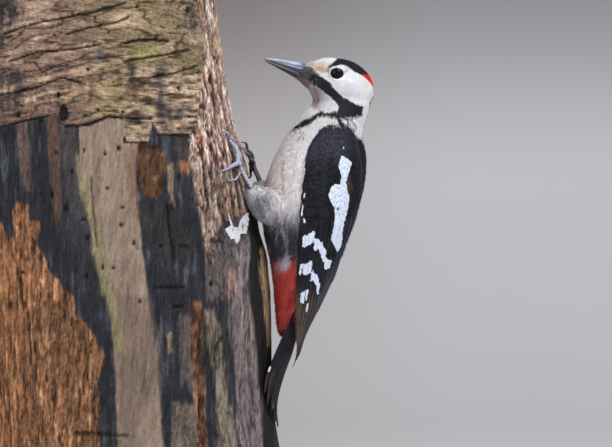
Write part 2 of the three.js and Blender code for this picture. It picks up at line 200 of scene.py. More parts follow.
def line_depth(across, height, line):
    """How far points are from a line through several places in the side view, in mm."""
    nearest = np.full(across.shape, 1e9)
    for (ax, az), (bx, bz) in zip(line[:-1], line[1:]):
        ex, ez = bx - ax, bz - az
        along = np.clip(((across - ax) * ex + (height - az) * ez) / (ex * ex + ez * ez), 0, 1)
        nearest = np.minimum(nearest, np.hypot(across - ax - along * ex, height - az - along * ez))
    return nearest


def depth_inside(outline, across, height):
    """How deep points lie inside a closed outline, in mm; negative outside it."""
    corners = [*outline, outline[0]]
    inside = np.zeros(across.shape, bool)
    for (ax, az), (bx, bz) in zip(corners[:-1], corners[1:]):
        if az != bz:
            edge = ax + (height - az) * (bx - ax) / (bz - az)
            inside ^= ((az > height) != (bz > height)) & (across < edge)
    return line_depth(across, height, corners) * np.where(inside, 1, -1)


# ---------------------------------------------------------------- meshes

def let_go():
    """Leaves object mode clean, with nothing selected."""
    if bpy.context.object is not None and bpy.context.object.mode != "OBJECT":
        bpy.ops.object.mode_set(mode="OBJECT")
    bpy.ops.object.select_all(action="DESELECT")


def pick(piece):
    """Makes a piece the only selected and active one."""
    let_go()
    piece.hide_set(False)
    piece.select_set(True)
    bpy.context.view_layer.objects.active = piece


def finish_modifier(piece, kind, **settings):
    """Adds a modifier, sets it and applies it."""
    pick(piece)
    modifier = piece.modifiers.new(kind.title(), kind)
    for name, value in settings.items():
        setattr(modifier, name, value)
    bpy.ops.object.modifier_apply(modifier=modifier.name)


def edited(piece, step, **settings):
    """Runs one edit-mode step on all of a piece."""
    pick(piece)
    bpy.ops.object.mode_set(mode="EDIT")
    bpy.ops.mesh.select_all(action="SELECT")
    step(**settings)
    bpy.ops.object.mode_set(mode="OBJECT")


def joined(pieces):
    """Joins pieces into the first of them."""
    let_go()
    for piece in pieces:
        piece.select_set(True)
    bpy.context.view_layer.objects.active = pieces[0]
    if len(pieces) > 1:
        bpy.ops.object.join()
    return bpy.context.view_layer.objects.active


def add_piece(title, mesh):
    """Puts a mesh into the scene as a piece."""
    piece = bpy.data.objects.new(title, mesh)
    bpy.context.scene.collection.objects.link(piece)
    return piece


def copy_of_solids(names, title):
    """One merged copy of some of the frame's solids, as a piece of its own."""
    whole = joined([add_piece(title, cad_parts[name].data.copy()) for name in names])
    whole.name = title
    whole.data.name = title
    whole.data.materials.clear()
    edited(whole, bpy.ops.mesh.remove_doubles, threshold=1e-6)
    return whole


def remeshed(piece, cell, rounds):
    """Gives a piece an even mesh with cells of a size in mm, then smooths it."""
    finish_modifier(piece, "REMESH", mode="VOXEL", voxel_size=cell * MM)
    finish_modifier(piece, "SMOOTH", factor=0.5, iterations=rounds)
    return piece


def numbers_of(rows, name, size=1):
    """One number, or a few, from each row of a mesh."""
    values = np.empty(len(rows) * size, np.float32)
    rows.foreach_get(name, values)
    return values.astype(float) if size == 1 else values.reshape(-1, size).astype(float)


def corners_of(piece):
    """A piece's vertices in mm, and their normals."""
    return numbers_of(piece.data.vertices, "co", 3) / MM, numbers_of(piece.data.vertices, "normal", 3)


def place_corners(piece, places):
    """Moves a piece's vertices to places given in mm."""
    piece.data.vertices.foreach_set("co", (places * MM).astype(np.float32).ravel())
    piece.data.update()


def keep_for(piece, **fields):
    """Keeps numbers or colours for each vertex, for the piece's material to read."""
    for name, values in fields.items():
        values = np.asarray(values, np.float32)
        if values.ndim == 1:
            piece.data.attributes.new(name, "FLOAT", "POINT").data.foreach_set("value", values)
            continue
        full = np.ones((len(values), 4), np.float32)
        full[:, :3] = values
        piece.data.color_attributes.new(name, "FLOAT_COLOR", "POINT").data.foreach_set("color",
            full.ravel())


def grid_faces(index, closed=False):
    """Faces between neighbours in a grid of vertex numbers; closed joins each row's end to its start."""
    after = np.roll(index, -1, axis=1)
    faces = np.stack([index[:-1], after[:-1], after[1:], index[1:]], axis=-1)
    return faces[:, : None if closed else -1].reshape(-1, 4)


def piece_from(title, places, faces, size=4):
    """A new piece from vertices in mm and faces of one size, smooth shaded."""
    mesh = bpy.data.meshes.new(title)
    places = np.asarray(places, float).reshape(-1, 3)
    faces = np.asarray(faces, np.int32).reshape(-1, size)
    mesh.vertices.add(len(places))
    mesh.vertices.foreach_set("co", (places * MM).astype(np.float32).ravel())
    mesh.loops.add(faces.size)
    mesh.loops.foreach_set("vertex_index", faces.ravel())
    mesh.polygons.add(len(faces))
    mesh.polygons.foreach_set("loop_start", np.arange(len(faces), dtype=np.int32) * size)
    mesh.update(calc_edges=True)
    mesh.polygons.foreach_set("use_smooth", np.ones(len(faces), bool))
    return add_piece(title, mesh)


def corner_numbers(mesh):
    """The vertex at each of a mesh's face corners."""
    corner = np.empty(len(mesh.loops), np.int32)
    mesh.loops.foreach_get("vertex_index", corner)
    return corner


def lay_map(piece, spots):
    """Writes the OFBake map from one place for each vertex."""
    mesh = piece.data
    for old in list(mesh.uv_layers):
        mesh.uv_layers.remove(old)
    layer = mesh.uv_layers.new(name="OFBake")
    layer.data.foreach_set("uv", np.clip(spots, 0, 1)[corner_numbers(mesh)].astype(np.float32).ravel())


def tree_of(piece):
    """A search tree of a piece's surface, in mm."""
    places, _ = corners_of(piece)
    faces = [tuple(face.vertices) for face in piece.data.polygons]
    return BVHTree.FromPolygons([tuple(p) for p in places], faces)


def tree_of_solids(*names):
    """A search tree of some of the frame's solids, merged."""
    guide = copy_of_solids(names, "guide")
    tree = tree_of(guide)
    bpy.data.objects.remove(guide)
    return tree


def nearest_on(tree, points):
    """The nearest place on a surface, its facing, its face and how far it is, for each point."""
    found = zip(*(tree.find_nearest(Vector(p)) for p in points))
    return [np.array(values) for values in found]


def settle(piece, material, slot, *nodes):
    """Gives a finished piece its material, its place in the row and the solids it stands for."""
    piece.data.materials.clear()
    piece.data.materials.append(material)
    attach(piece, "root")
    if nodes:
        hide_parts(*nodes)
    return piece


# ---------------------------------------------------------------- markings

WHITE = tone(238, 238, 243)
BRISTLE = tone(88, 84, 88)
# Buff of chin and throat darkened with painted shade under the bill and head.
SHADED_THROAT = tone(162, 142, 138)
CREAM = tone(220, 217, 217)
BREAST = tone(233, 225, 224)
BREAST_STREAK = tone(182, 158, 145)
BELLY = tone(150, 152, 164)
BELLY_STREAK = tone(54, 54, 62)
VENT = tone(204, 74, 66)
VENT_PALE = tone(216, 112, 102)
NAPE = tone(226, 24, 16)
THIGH = tone(184, 182, 186)
THIGH_DARK = tone(112, 110, 116)
JET = tone(24, 25, 33)
WING_DARK = tone(14, 13, 18)
# Painted sheen: light off the glossy black feathers, laid into their colour.
WING_SHEEN = tone(54, 54, 70)
WING_BROWN = tone(84, 66, 56)
# Painted blue-grey sheen towards the back of the folded wing.
BLUE_SHEEN = tone(68, 70, 86)
EDGE_PALE = tone(150, 134, 118)

CROWN_OUTLINE = [
    (87.9, 252.9), (89.1, 253.5), (91, 254.1), (93.9, 254.5), (95.7, 254.4), (97.7, 253.7), (99.7, 252.3),
    (102.6, 250.3),
    (105.9, 248.8), (109.9, 248.8), (113.2, 257.2), (99.2, 263.7), (91.1, 262.6), (91.9, 257.2),
    (90.3, 255.9), (87.8, 253.9),
]
NAPE_OUTLINE = [
    (105.5, 249), (108.4, 246.6), (110.3, 244.5), (111.4, 242.6), (111.9, 241), (112.3, 238.8),
    (116.5, 238.8), (116.5, 249.6), (111.1, 248.9),
]
WHISKER_OUTLINE = [
    (73.8, 247.7), (75.4, 249.6), (78.9, 250.2), (81.8, 248.9), (85.2, 247.2), (88.6, 244.8), (90.5, 241.9),
    (92.9, 239.5),
    (95.8, 237.1), (98.7, 235.2), (97, 228), (95.4, 230.4), (93.4, 232.3), (91.5, 234.2), (88.6, 237.1),
    (86.2, 239), (83.2, 241.5), (79.9, 243.4), (76.5, 244.8), (74.1, 247.2),
]
NECK_OUTLINE = [
    (95.8, 237.1), (98.7, 235.4), (100.8, 234.7), (102.4, 232.8), (106.9, 231.8), (106.5, 229.4),
    (105.1, 226.2), (102.1, 225.6),
    (97.6, 224.8), (92.4, 225.5), (91.6, 228.5), (93.4, 232.3),
]
BREAST_BAND_OUTLINE = [
    (93.2, 229.3), (87.8, 228.6), (83.2, 228.9), (80.8, 228), (77.4, 225.6), (72.6, 223.8), (69.1, 221),
    (65.9, 217), (69.1, 218.8), (73.8, 220.5), (77.9, 222.2), (80.5, 225.3), (84.4, 226.2),
    (89, 225.9), (93.2, 224.5),
]
MANTLE_OUTLINE = [
    (94.8, 220.6), (98.9, 218.8), (101.8, 216.1), (105.4, 214.3), (107.7, 210.2), (117.6, 208.5),
    (117.6, 62.6), (65.7, 62.6),
    (68.9, 111.2), (73.2, 148), (78.6, 168), (81.4, 192.3), (80.3, 208.5), (81.4, 216.1), (83.2, 219.6),
    (85.7, 220.9), (88.9, 221.3), (92.7, 221.1),
]
NECK_LINE = [
    (91.9, 225.8), (93.6, 225.7), (96.3, 221.9), (99.5, 219.6), (102.6, 216.4), (101.1, 215.6),
    (98.2, 218.5),
    (94.4, 220.8),
]
BLACK_OUTLINES = (CROWN_OUTLINE, NECK_OUTLINE, BREAST_BAND_OUTLINE, MANTLE_OUTLINE, NECK_LINE)
THROAT_OUTLINE = [
    (73.8, 248), (78.6, 245.3), (82.4, 242.1), (86.2, 238.3), (90, 235), (92.2, 231.8), (89.5, 229.6),
    (81.9, 229.6),
    (77.6, 232.3), (75.9, 237.7), (74.3, 243.1),
]
# Fine dark lines in the white between collar and mantle.
NECK_STREAKS = ([(97.4, 223.7), (99.2, 221.2), (102.2, 217.7)],
    [(99.5, 224.4), (101.6, 221.8), (103, 220.2)])
BRISTLE_OUTLINE = [
    (70, 253.9), (74.3, 253.8), (77, 253.1), (79.7, 251.8), (83, 249.1), (79.7, 246.9), (75.4, 246.1),
    (72.2, 246.6), (68.9, 248.5),
]
# Soft spots of colour, from vent to forehead: colour, share, middle, half width and height, blur.
SOFT_SPOTS = [
    ((206, 212, 228), 0.95, (64.4, 146.7), (2.3, 2.6), 0.5),
    ((178, 176, 184), 0.7, (60.3, 145.3), (2.4, 2.8), 0.8),
    ((205, 203, 216), 0.45, (97, 239.4), (5.6, 4), 0.8),
    ((242, 211, 182), 0.35, (107.3, 243.9), (2.2, 2.2), 0.8),
    ((232, 202, 174), 0.95, (83.5, 253.8), (4.8, 2.4), 0.9),
    ((190, 146, 112), 0.7, (83.2, 252.5), (2.6, 1.3), 0.9),
    ((150, 112, 86), 0.5, (85.5, 251.2), (2.4, 0.8), 0.8),
    ((216, 208, 204), 1.0, (76.5, 255), (3.6, 1.6), 0.6),
]
SCAPULAR_OUTLINE = [
    (94.5, 205.7), (97.3, 204.4), (100.3, 201.6), (99, 197.7), (97, 191.2), (97.6, 186.9), (98.9, 183.3),
    (98.3, 177.4), (95.9, 168.6), (94.5, 156.9), (92.4, 152.8), (90.7, 156.9), (88.9, 159.8), (91.2, 171.6),
    (91, 176.8), (88.9, 180.4), (87.5, 184.4), (88.9, 188.5), (91.3, 190.1), (94, 189.8), (94.5, 194.5),
    (93, 199.9),
]


def patch_of(outline, across, height, blur=0.25):
    """1 inside an outline and 0 outside it, with an edge as wide as blur in mm."""
    return ramp(-blur, blur, depth_inside(outline, across, height))


def spot_at(across, height, middle, radii, blur=0.5):
    """1 inside an oval in the side view and 0 outside it."""
    gone = np.hypot((across - middle[0]) / radii[0], (height - middle[1]) / radii[1])
    return 1 - ramp(1 - blur, 1 + blur, gone)


def body_marks(points, on_thigh):
    """The plumage's colour at points on head, neck, trunk and thighs, and how glossy it is."""
    across, height = side_view(points)
    rough = 0.35 + 0.5 * ramp(246, 236, height)
    across = across + rough * cloud(points, (1.1, 1.1, 1.8), 9, 2)
    height = height + rough * cloud(points, (1.1, 1.1, 1.8), 10, 2)
    streak = cloud(points, (1.7, 1.7, 9), 5)
    broad = cloud(points, 8, 7)
    fine = cloud(points, (0.9, 0.9, 2.6), 8, 2)

    buffs = ramp(-0.1, 0.5, streak + 0.3 * fine) * ramp(214, 204, height) * ramp(162, 184, height)
    greys = ramp(184, 162, height + 5 * broad + 3 * streak)
    sooty = ramp(-0.3, 0.45, streak + 0.5 * fine + 0.4 * broad + 0.5 * ramp(172, 158, height))
    red = layered(
        VENT, (VENT_PALE, ramp(-0.1, 0.7, streak + 0.5 * broad + 0.3 * fine)),
        (VENT * 0.4, 0.8 * ramp(0.1, 0.6, -streak - 0.3 * fine)),
        (VENT * 0.35,
        0.75 * ramp(3.4, 0.6, across - np.interp(height, [105, 128, 146], [59.5, 54.5, 50.5]))),
    )
    # Painted shade on the throat under the bill and head; it fades towards the back.
    throat_shade = patch_of(THROAT_OUTLINE, across, height, 1.2) * (0.65 + 0.4 * ramp(-0.4, 0.4, streak))
    colour = layered(
        CREAM, (WHITE, ramp(226, 232, height)), (BREAST, ramp(218, 207, height + 2 * broad)),
        (BREAST_STREAK, buffs * (0.4 + 0.5 * ramp(72, 62, across))),
        (WHITE, 0.7 * ramp(71, 75, across) * ramp(176, 188, height) * ramp(214, 206, height)),
        (BELLY, greys), (BELLY_STREAK, greys * sooty), (red, ramp(150.5, 145.5, height + 2.6 * streak)),
        (SHADED_THROAT, throat_shade * (1 - 0.75 * ramp(84, 91, across + 0.5 * (241 - height)))),
        (WHITE, ramp(94.5, 97.5, across) * ramp(233, 230, height) * ramp(212, 215, height)),
        *((tone(*shade), share * spot_at(across, height, *spot)) for shade, share, *spot in SOFT_SPOTS),
    )

    arc = bell(np.hypot((across - 92.6) / 4.9, (height - 250) / 4.2), 1, 0.07)
    arc = arc * (ramp(250.6, 249.4, height) * ramp(95.6, 92.6, across) + 0.6 * ramp(93.1, 92.1, across))
    bristle = patch_of(BRISTLE_OUTLINE, across, height, 0.7) * (0.75 + 0.3 * ramp(-0.5, 0.3, fine))
    chin = spot_at(across, height, (74.9, 245.3), (5, 2.4)) * ramp(-0.5, 0.3, cloud(points, 0.8, 12, 2))
    worn = ramp(84, 77, across) * ramp(-0.1, 0.5, fine)
    off_middle = np.abs(points[:, 1]) + 0.6 * streak
    black = (1 - on_thigh) * np.maximum.reduce([
        *(patch_of(outline, across, height) for outline in BLACK_OUTLINES),
        *(0.8 * ramp(0.55, 0.2, line_depth(across, height, line)) for line in NECK_STREAKS),
        patch_of(WHISKER_OUTLINE, across, height) * (1 - 0.5 * worn),
        ramp(1.3, 0.7, off_middle) * ramp(100, 103, across) * ramp(210, 214, height) * ramp(243, 240,
        height),
        spot_at(across, height, (111.1, 233), (1.1, 1.8)) * ramp(5, 4, off_middle),
        0.85 * spot_at(across, height, (72.7, 216.1), (3.6, 3.2)) * ramp(0.25, 0.35,
        cloud(points, 0.9, 21, 2)),
    ])
    nape = patch_of(NAPE_OUTLINE, across, height)
    # Thigh: grey plumage, whiter at the top and darker round the middle and low down; the darker middle and
    # lower part are partly painted shade on its round shape.
    dusky = spot_at(across, height, (51.6, 176.9), (4.6, 5.4), 0.8)
    strands = cloud(points + (points[:, 2:] - 180) * (0.5, 0, 0), (1.3, 1.3, 9), 15)
    thigh = layered(
        THIGH, (THIGH_DARK, ramp(-0.2, 0.5, 1.1 * strands + 0.5 * broad + 0.3 * fine + 1.1 * dusky - 0.4)),
        (WHITE, 0.75 * ramp(0.1, 0.6, strands + 1.6 * ramp(184, 190, height) - 1.2 * dusky - 0.3)),
    )
    colour = layered(
        colour, (tone(140, 138, 146), 0.4 * arc),
        (BRISTLE * (0.8 + 0.4 * ramp(-0.4, 0.4, streak))[:, None], bristle),
        (tone(104, 92, 90), 0.85 * chin),
        (JET * (1 + 0.25 * broad[:, None]), black), (NAPE * (1 + 0.25 * fine[:, None]), nape),
        (thigh, on_thigh * ramp(146, 150, height) * ramp(60, 56, across + 1.5 * streak)),
    )
    return np.clip(colour * (1 + 0.06 * fine + 0.05 * broad)[:, None], 0, 1), 0.45 * black * (1 - nape)


# Flight feathers: the height of the tip, then where the front edge lies at the heights, as a share of the
# wing from front to back.
FLIGHT_HEIGHTS = (176, 157.2, 143.7, 129, 112, 98)
FLIGHTS = [
    (104, 0, 0, 0, 0, 0, 0), (91.4, .06, .06, .04, .06, .1, .3), (93, .12, .13, .15, .14, .2, .42),
    (95.5, .18, .2, .25, .27, .36, .6), (99.5, .25, .27, .34, .4, .5, .75),
    (104.5, .34, .37, .43, .5, .62, .85),
    (110, .43, .47, .52, .59, .72, .9), (117, .52, .56, .6, .68, .8, .9), (124, .6, .65, .69, .76, .86, .9),
    (131, .7, .74, .77, .82, .88, .9), (119.5, .77, .79, .8, .72, .74, .9),
    (136, .84, .86, .87, .86, .9, .9),
    (150, .91, .92, .93, .93, .9, .9),
]
# White spots over the folded flight feathers, as outlines in the side view.
FLIGHT_SPOTS = [
    [(73.3, 156), (73.5, 157.1), (73.7, 161.4), (74.5, 162.1), (75.4, 162.7), (76.1, 162.3), (76.5, 162.8),
     (76.9, 163.5), (77.4, 163.7), (78.4, 163.3), (78.7, 164.7), (79.5, 165.1), (80.3, 164.5), (80.3, 163),
     (80, 161.4), (79.7, 158.9), (79, 158.6), (78.3, 158), (77.6, 157.3), (76.5, 157), (75.5, 156.4),
     (74.6, 155.7), (73.9, 155.9)],
    [(79.7, 154.7), (79.6, 155.7), (79.8, 157.1), (80, 159.9), (80.3, 160.4), (81.9, 160.5), (82.5, 160.4),
     (82.9, 158.6), (83.1, 158.2), (83.6, 158.6), (84.2, 158.9), (84.6, 158.6), (84.6, 157.6),
     (84.4, 156.4),
     (85, 156.1), (85.6, 156.1), (85.6, 154.8), (86.5, 154.2), (86.3, 152.8), (85.8, 150.5), (86.5, 150.2),
     (87.2, 149.7), (88.3, 148.9), (89.6, 149), (89.2, 147.8), (88.6, 146.4), (88.3, 144.9), (87.1, 144.4),
     (86.4, 143.7), (85.5, 143.7), (85.2, 144.5), (85.2, 146.3), (85.4, 148.3), (84.2, 147.6),
     (84.5, 149.7),
     (83.5, 149.5), (83.6, 150.5), (83.8, 152.3), (83.3, 152.4), (82.6, 153), (82.9, 155), (81.9, 154.9),
     (81.2, 154.2), (80.3, 154)],
    [(71.5, 141), (71.8, 142.9), (72.1, 145.1), (72.2, 146.8), (74.2, 147.2), (75.4, 146.9), (76.3, 147.4),
     (76.9, 147.3), (77.2, 148.9), (78, 149.2), (78.8, 148.5), (78.6, 146.2), (78.2, 142), (77.1, 141.9),
     (76, 141.4), (75.2, 140.4), (73.9, 141.1), (73.8, 142.9), (73.9, 145.4), (73.4, 145.3), (73.1, 142),
     (72.6, 141.4), (72.1, 140.6)],
    [(77.6, 137.4), (77.9, 139.1), (78.3, 140.9), (78.4, 142.9), (78.9, 143.8), (79.4, 143.6),
    (79.5, 142.4),
     (80.2, 141.7), (81.8, 141.1), (82.3, 138.3), (82.2, 137.1), (83.1, 136.1), (82.9, 134.7), (82.4, 133),
     (82.2, 130.5), (81.6, 129.8), (81.5, 131.6), (80.9, 131.8), (81.1, 135.8), (80.2, 136.1),
     (79.7, 137.6),
     (79.1, 138.1), (78.3, 137.8)],
    [(72.1, 126.1), (72.3, 128.1), (72.5, 130.3), (72.8, 132.1), (73.6, 131.4), (74.4, 133.1),
    (74.9, 132.5),
     (74.9, 130.8), (74.5, 128.1), (74.2, 125.5), (73.2, 125.7)],
    [(75.1, 127.2), (75.5, 129.4), (75.5, 131.8), (75.8, 133.2), (76.6, 133.3), (76.8, 132.1),
    (76.1, 128.1),
     (75.8, 127)],
    [(75.1, 121.2), (75.5, 123.2), (76.1, 126.2), (76.8, 125.7), (76.4, 122.8), (75.7, 120.8)],
    [(74.3, 199.9), (75, 198.8), (74.6, 193.4), (74, 192.6)],
    [(74.3, 186.1), (75, 185.3), (74.6, 182.1), (74.1, 182.1)],
    [(73.6, 179.4), (74.1, 178.3), (73.4, 173.9), (73, 171.8), (72.8, 174.5)],
    [(73.9, 171.6), (74.6, 171.2), (75.3, 169.3), (74.1, 169.1)],
]
TAIL_SPOT = [(54.3, 91.8), (55.7, 92.3), (56.5, 91), (55.7, 88.5), (54.5, 89.1)]


def white_depth(points, outlines):
    """How deep vane points lie inside the white markings of one side view, in mm; negative outside."""
    across, height = side_view(points)
    deep = np.maximum.reduce([depth_inside(outline, across, height) for outline in outlines])
    for (x, z), size in (((95.7, 209.6), 0.6), ((92.7, 176.8), -0.8)):
        gone = np.hypot(across - x, height - z)
        deep = np.maximum(deep, size - gone) if size > 0 else np.minimum(deep, gone + size)
    return np.clip(deep, -3, 3)
# ---------------------------------------------------------------- skin and the coat's guides

def along_face(ways, facing):
    """Ways laid flat on a surface."""
    return ways - facing * np.sum(ways * facing, axis=-1, keepdims=True)


def coat_depth(points, sizes):
    """How thick the coat is over the skin, in mm, from the face down to the vent."""
    head = sizes.head_depth / MM
    body = sizes.body_depth / MM
    depth = head + (body - head) * ramp(236, 214, points[:, 2])
    face = np.linalg.norm(points - HEAD_ROOT, axis=1)
    depth = depth * (0.35 + 0.65 * ramp(4.5, 11, face))
    eye = HEAD_ROOT + EYE_PLACE["back"] * HEAD_BACK + EYE_PLACE["up"] * HEAD_UP
    near_eye = np.hypot(points[:, 0] - eye[0], points[:, 2] - eye[2])
    outer = np.abs(points[:, 1]) > 6
    return np.where(outer, depth * (0.3 + 0.7 * ramp(3.6, 7.0, near_eye)), depth)


def lie_of_coat(points, facing, on_thigh):
    """The way the plumage lies at points: back over the head, down the neck and body."""
    back = HEAD_BACK + np.array([0.0, 0.0, -0.1])
    down = np.array([-0.06, 0.0, -1.0])
    tailward = np.array([-0.3, 0.0, -0.95])
    head = ramp(224, 247, points[:, 2] + 0.35 * (points[:, 0] - 92))
    way = mixed(down, back, head)
    way = mixed(way, tailward, ramp(176, 150, points[:, 2]))
    tilt = np.stack([cloud(points, 7, seed, 2) for seed in (41, 42, 43)], axis=1)
    loose = 0.12 + 0.1 * ramp(185, 160, points[:, 2])
    way = way + tilt * (loose + 0.5 * on_thigh)[:, None]
    thigh_way = np.array([-0.35, 0.0, -0.8])
    way = mixed(way, thigh_way + 0.7 * tilt, 0.8 * on_thigh * ramp(60, 56, points[:, 0]))
    return unit(along_face(way, facing))


def make_guides():
    """A search tree of the bird's solids, which tells which of them is nearest."""
    names = ["head", "neck", "torso", "thigh_left", "thigh_right", "wing_left", "wing_right", "tail",
             "tarsus_left", "tarsus_right"]
    places, faces, owner = [], [], []
    for index, name in enumerate(names):
        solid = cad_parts[name]
        start = len(places)
        places.extend(corners_of(solid)[0].tolist())
        faces.extend([start + v for v in face.vertices] for face in solid.data.polygons)
        owner.extend([index] * len(solid.data.polygons))
    SHARED["solids"] = (BVHTree.FromPolygons(places, faces), np.array(owner), names)


def stands_for(owner, *names):
    """True where the nearest solid is one of those named."""
    every = SHARED["solids"][2]
    return np.isin(owner, [every.index(name) for name in names])


def owner_of(points):
    """The number of the solid nearest each point."""
    tree, owner, _ = SHARED["solids"]
    return owner[nearest_on(tree, points)[2]]


def over_shoulder(points):
    """True where breast and neck plumage laps over the wing's front and top edge."""
    across, height = side_view(points)
    return (height > 203) & (across < shoulder_edge(height) + 0.3)


def sink_skin(piece, sizes):
    """Moves the merged solids' surface in by the coat's depth."""
    places, facing = corners_of(piece)
    owner = owner_of(places)
    depth = coat_depth(places, sizes)
    depth = np.where(stands_for(owner, "wing_left", "wing_right"), 1.8, depth)
    depth = np.where(stands_for(owner, "tail"), 0.8, depth)
    depth = np.where(stands_for(owner, "thigh_left", "thigh_right"), 1.6 * ramp(186, 180, places[:, 2]),
        depth)
    place_corners(piece, places - facing * depth[:, None])


def unwrap_skin(skin):
    """A light copy of the skin with an unwrap, from which each tuft takes its place on the map."""
    light = add_piece("light_skin", skin.data.copy())
    finish_modifier(light, "DECIMATE", ratio=0.05)
    finish_modifier(light, "TRIANGULATE")
    edited(light, bpy.ops.uv.smart_project, angle_limit=math.radians(66), island_margin=0.004)
    spots = numbers_of(light.data.uv_layers.active.data, "uv", 2)
    triangles = corners_of(light)[0][corner_numbers(light.data)]
    SHARED["unwrap"] = (tree_of(light), triangles.reshape(-1, 3, 3), spots.reshape(-1, 3, 2))
    bpy.data.objects.remove(light)


def map_spots(points):
    """Where points on the skin lie on its unwrap."""
    tree, triangles, spots = SHARED["unwrap"]
    places, _, face, _ = nearest_on(tree, points)
    corners = triangles[face]
    after, before = np.roll(corners, -1, axis=1), np.roll(corners, 1, axis=1)
    share = np.linalg.norm(np.cross(after - places[:, None], before - places[:, None]), axis=2) + 1e-12
    return np.einsum("ij,ijk->ik", share / share.sum(axis=1, keepdims=True), spots[face])


# ---------------------------------------------------------------- tufts

def turned_with(facing, like):
    """Normals turned to the side that others point to."""
    return facing * np.where(np.sum(facing * like, axis=1, keepdims=True) < 0, -1.0, 1.0)


# One barb: three corners at its root, three halfway and its point. The faces, and where each corner lies on
# the tuft's patch of the map.
BARB_FACES = (
    (0, 1, 2), (0, 3, 4), (0, 4, 1), (1, 4, 5), (1, 5, 2), (2, 5, 3), (2, 3, 0), (3, 6, 4), (4, 6, 5),
    (5, 6, 3),
)
BARB_PATCH = ((-1, -1), (-0.6, -1), (-0.8, -1), (-1, 0), (-0.6, 0), (-0.8, 0), (0, 1))
HALF_PATCH = 0.0015


def grow_tufts(title, roots, facing, way, style, seed, marks):
    """Tufts of fine tapered barbs. Each lies along the skin from its root and rises to the coat's depth.

    style holds length, depth, width, spread, lift and how ragged the markings' edges are, for each tuft or
    for all; also how many barbs, how far their shades vary and, if not the skin, the tree they lie on.
    marks(points) gives colour and gloss at points.
    """
    chance = np.random.default_rng(seed)
    tree = style.get("tree") or SHARED["skin"]
    count, barbs = len(roots), style["barbs"]
    length, depth, width, spread, lift, ragged = (
        np.broadcast_to(style[name], count)[:, None, None]
        for name in ("length", "depth", "width", "spread", "lift", "ragged"))
    halfway, half_facing, _, _ = nearest_on(tree, roots + way * 0.5 * length[:, 0])
    half_facing = turned_with(half_facing, facing)
    onward = unit(along_face(unit(halfway - roots), half_facing))
    ending, end_facing, _, _ = nearest_on(tree, halfway + onward * 0.5 * length[:, 0])
    rows = (roots, facing, way, halfway, half_facing, ending, turned_with(end_facing, facing), onward)
    root, facing, way, halfway, half_facing, ending, end_facing, onward = (array[:, None] for array in rows)
    across, end_across = unit(np.cross(way, facing)), unit(np.cross(onward, end_facing))

    size = (count, barbs, 1)
    place = np.linspace(-1, 1, barbs)[:, None] + chance.uniform(-0.35, 0.35, size)
    fan = spread * place
    reach = chance.uniform(0.78, 1.12, size) * (1 - 0.18 * place**2)
    lift = lift * chance.uniform(0.5, 1.4, size)
    start = root + across * (0.3 * fan) - facing * 0.25 + way * chance.uniform(-0.2, 0.2, size) * length
    rise = half_facing * (depth * chance.uniform(0.45, 0.85, size))
    middle = root + (halfway - root) * reach + across * (0.75 * fan) + rise
    top = end_facing * (depth * chance.uniform(0.55, 1.0, size) + lift)
    point = middle - rise + (ending - halfway) * reach + end_across * (0.45 * fan) + top
    point = point + chance.normal(0, 0.06, point.shape) * length
    width = width * chance.uniform(0.75, 1.25, size)
    side, up = across * width, half_facing * width * 0.35
    corners = np.stack([start - 0.4 * side, start + 0.4 * side, start + up,
                        middle - 0.5 * side, middle + 0.5 * side, middle + up, point], axis=2)
    total = count * barbs
    faces = np.arange(total)[:, None, None] * 7 + np.array(BARB_FACES)
    piece = piece_from(title, corners, faces, size=3)

    middle, point = middle.reshape(-1, 3), point.reshape(-1, 3)
    along = 0.5 + np.repeat(ragged[:, 0], barbs, axis=0) * chance.uniform(-0.8, 0.8, (total, 1))
    colour, gloss = marks(middle + along * (point - middle))
    shade = chance.normal(1.0, style["vary"], (total, 1)) * np.repeat(chance.normal(1.0, 0.03, (count, 1)),
        barbs, 0)
    keep_for(piece, coat=np.repeat(np.clip(colour * shade, 0, 1), 7, axis=0), gloss=np.repeat(gloss, 7))
    out, lean = (np.repeat(array[:, 0], barbs, axis=0) for array in (half_facing, 0.6 * across))
    rounds = np.stack([out - lean, out + lean, out] * 2 + [out], axis=1).reshape(-1, 3)
    piece.data.normals_split_custom_set_from_vertices(unit(rounds).tolist())
    spots = np.repeat(map_spots(roots), barbs, axis=0) + (place.reshape(-1, 1) + 1) * (0.4 * HALF_PATCH, 0)
    lay_map(piece, (spots[:, None] + np.array(BARB_PATCH) * HALF_PATCH).reshape(-1, 2))
    return piece


def coat_roots(seed):
    """All places on the skin where a tuft could root, with their facing and solid."""
    chance = np.random.default_rng(seed)
    skin = SHARED["skin_piece"]
    places, facing = corners_of(skin)
    grower = numbers_of(skin.data.attributes["grower"].data, "value").round().astype(int)
    keep = grower > 0
    places, facing = places[keep], facing[keep]
    return places + along_face(chance.normal(0, 0.35, places.shape), facing), facing, grower[keep] - 1


# ---------------------------------------------------------------- vanes

def twice(values):
    """The same values for a vane's top and its underside."""
    flat = values.reshape(len(values), -1, *values.shape[3:])
    return np.concatenate([flat, flat], axis=1).reshape(-1, *values.shape[3:])


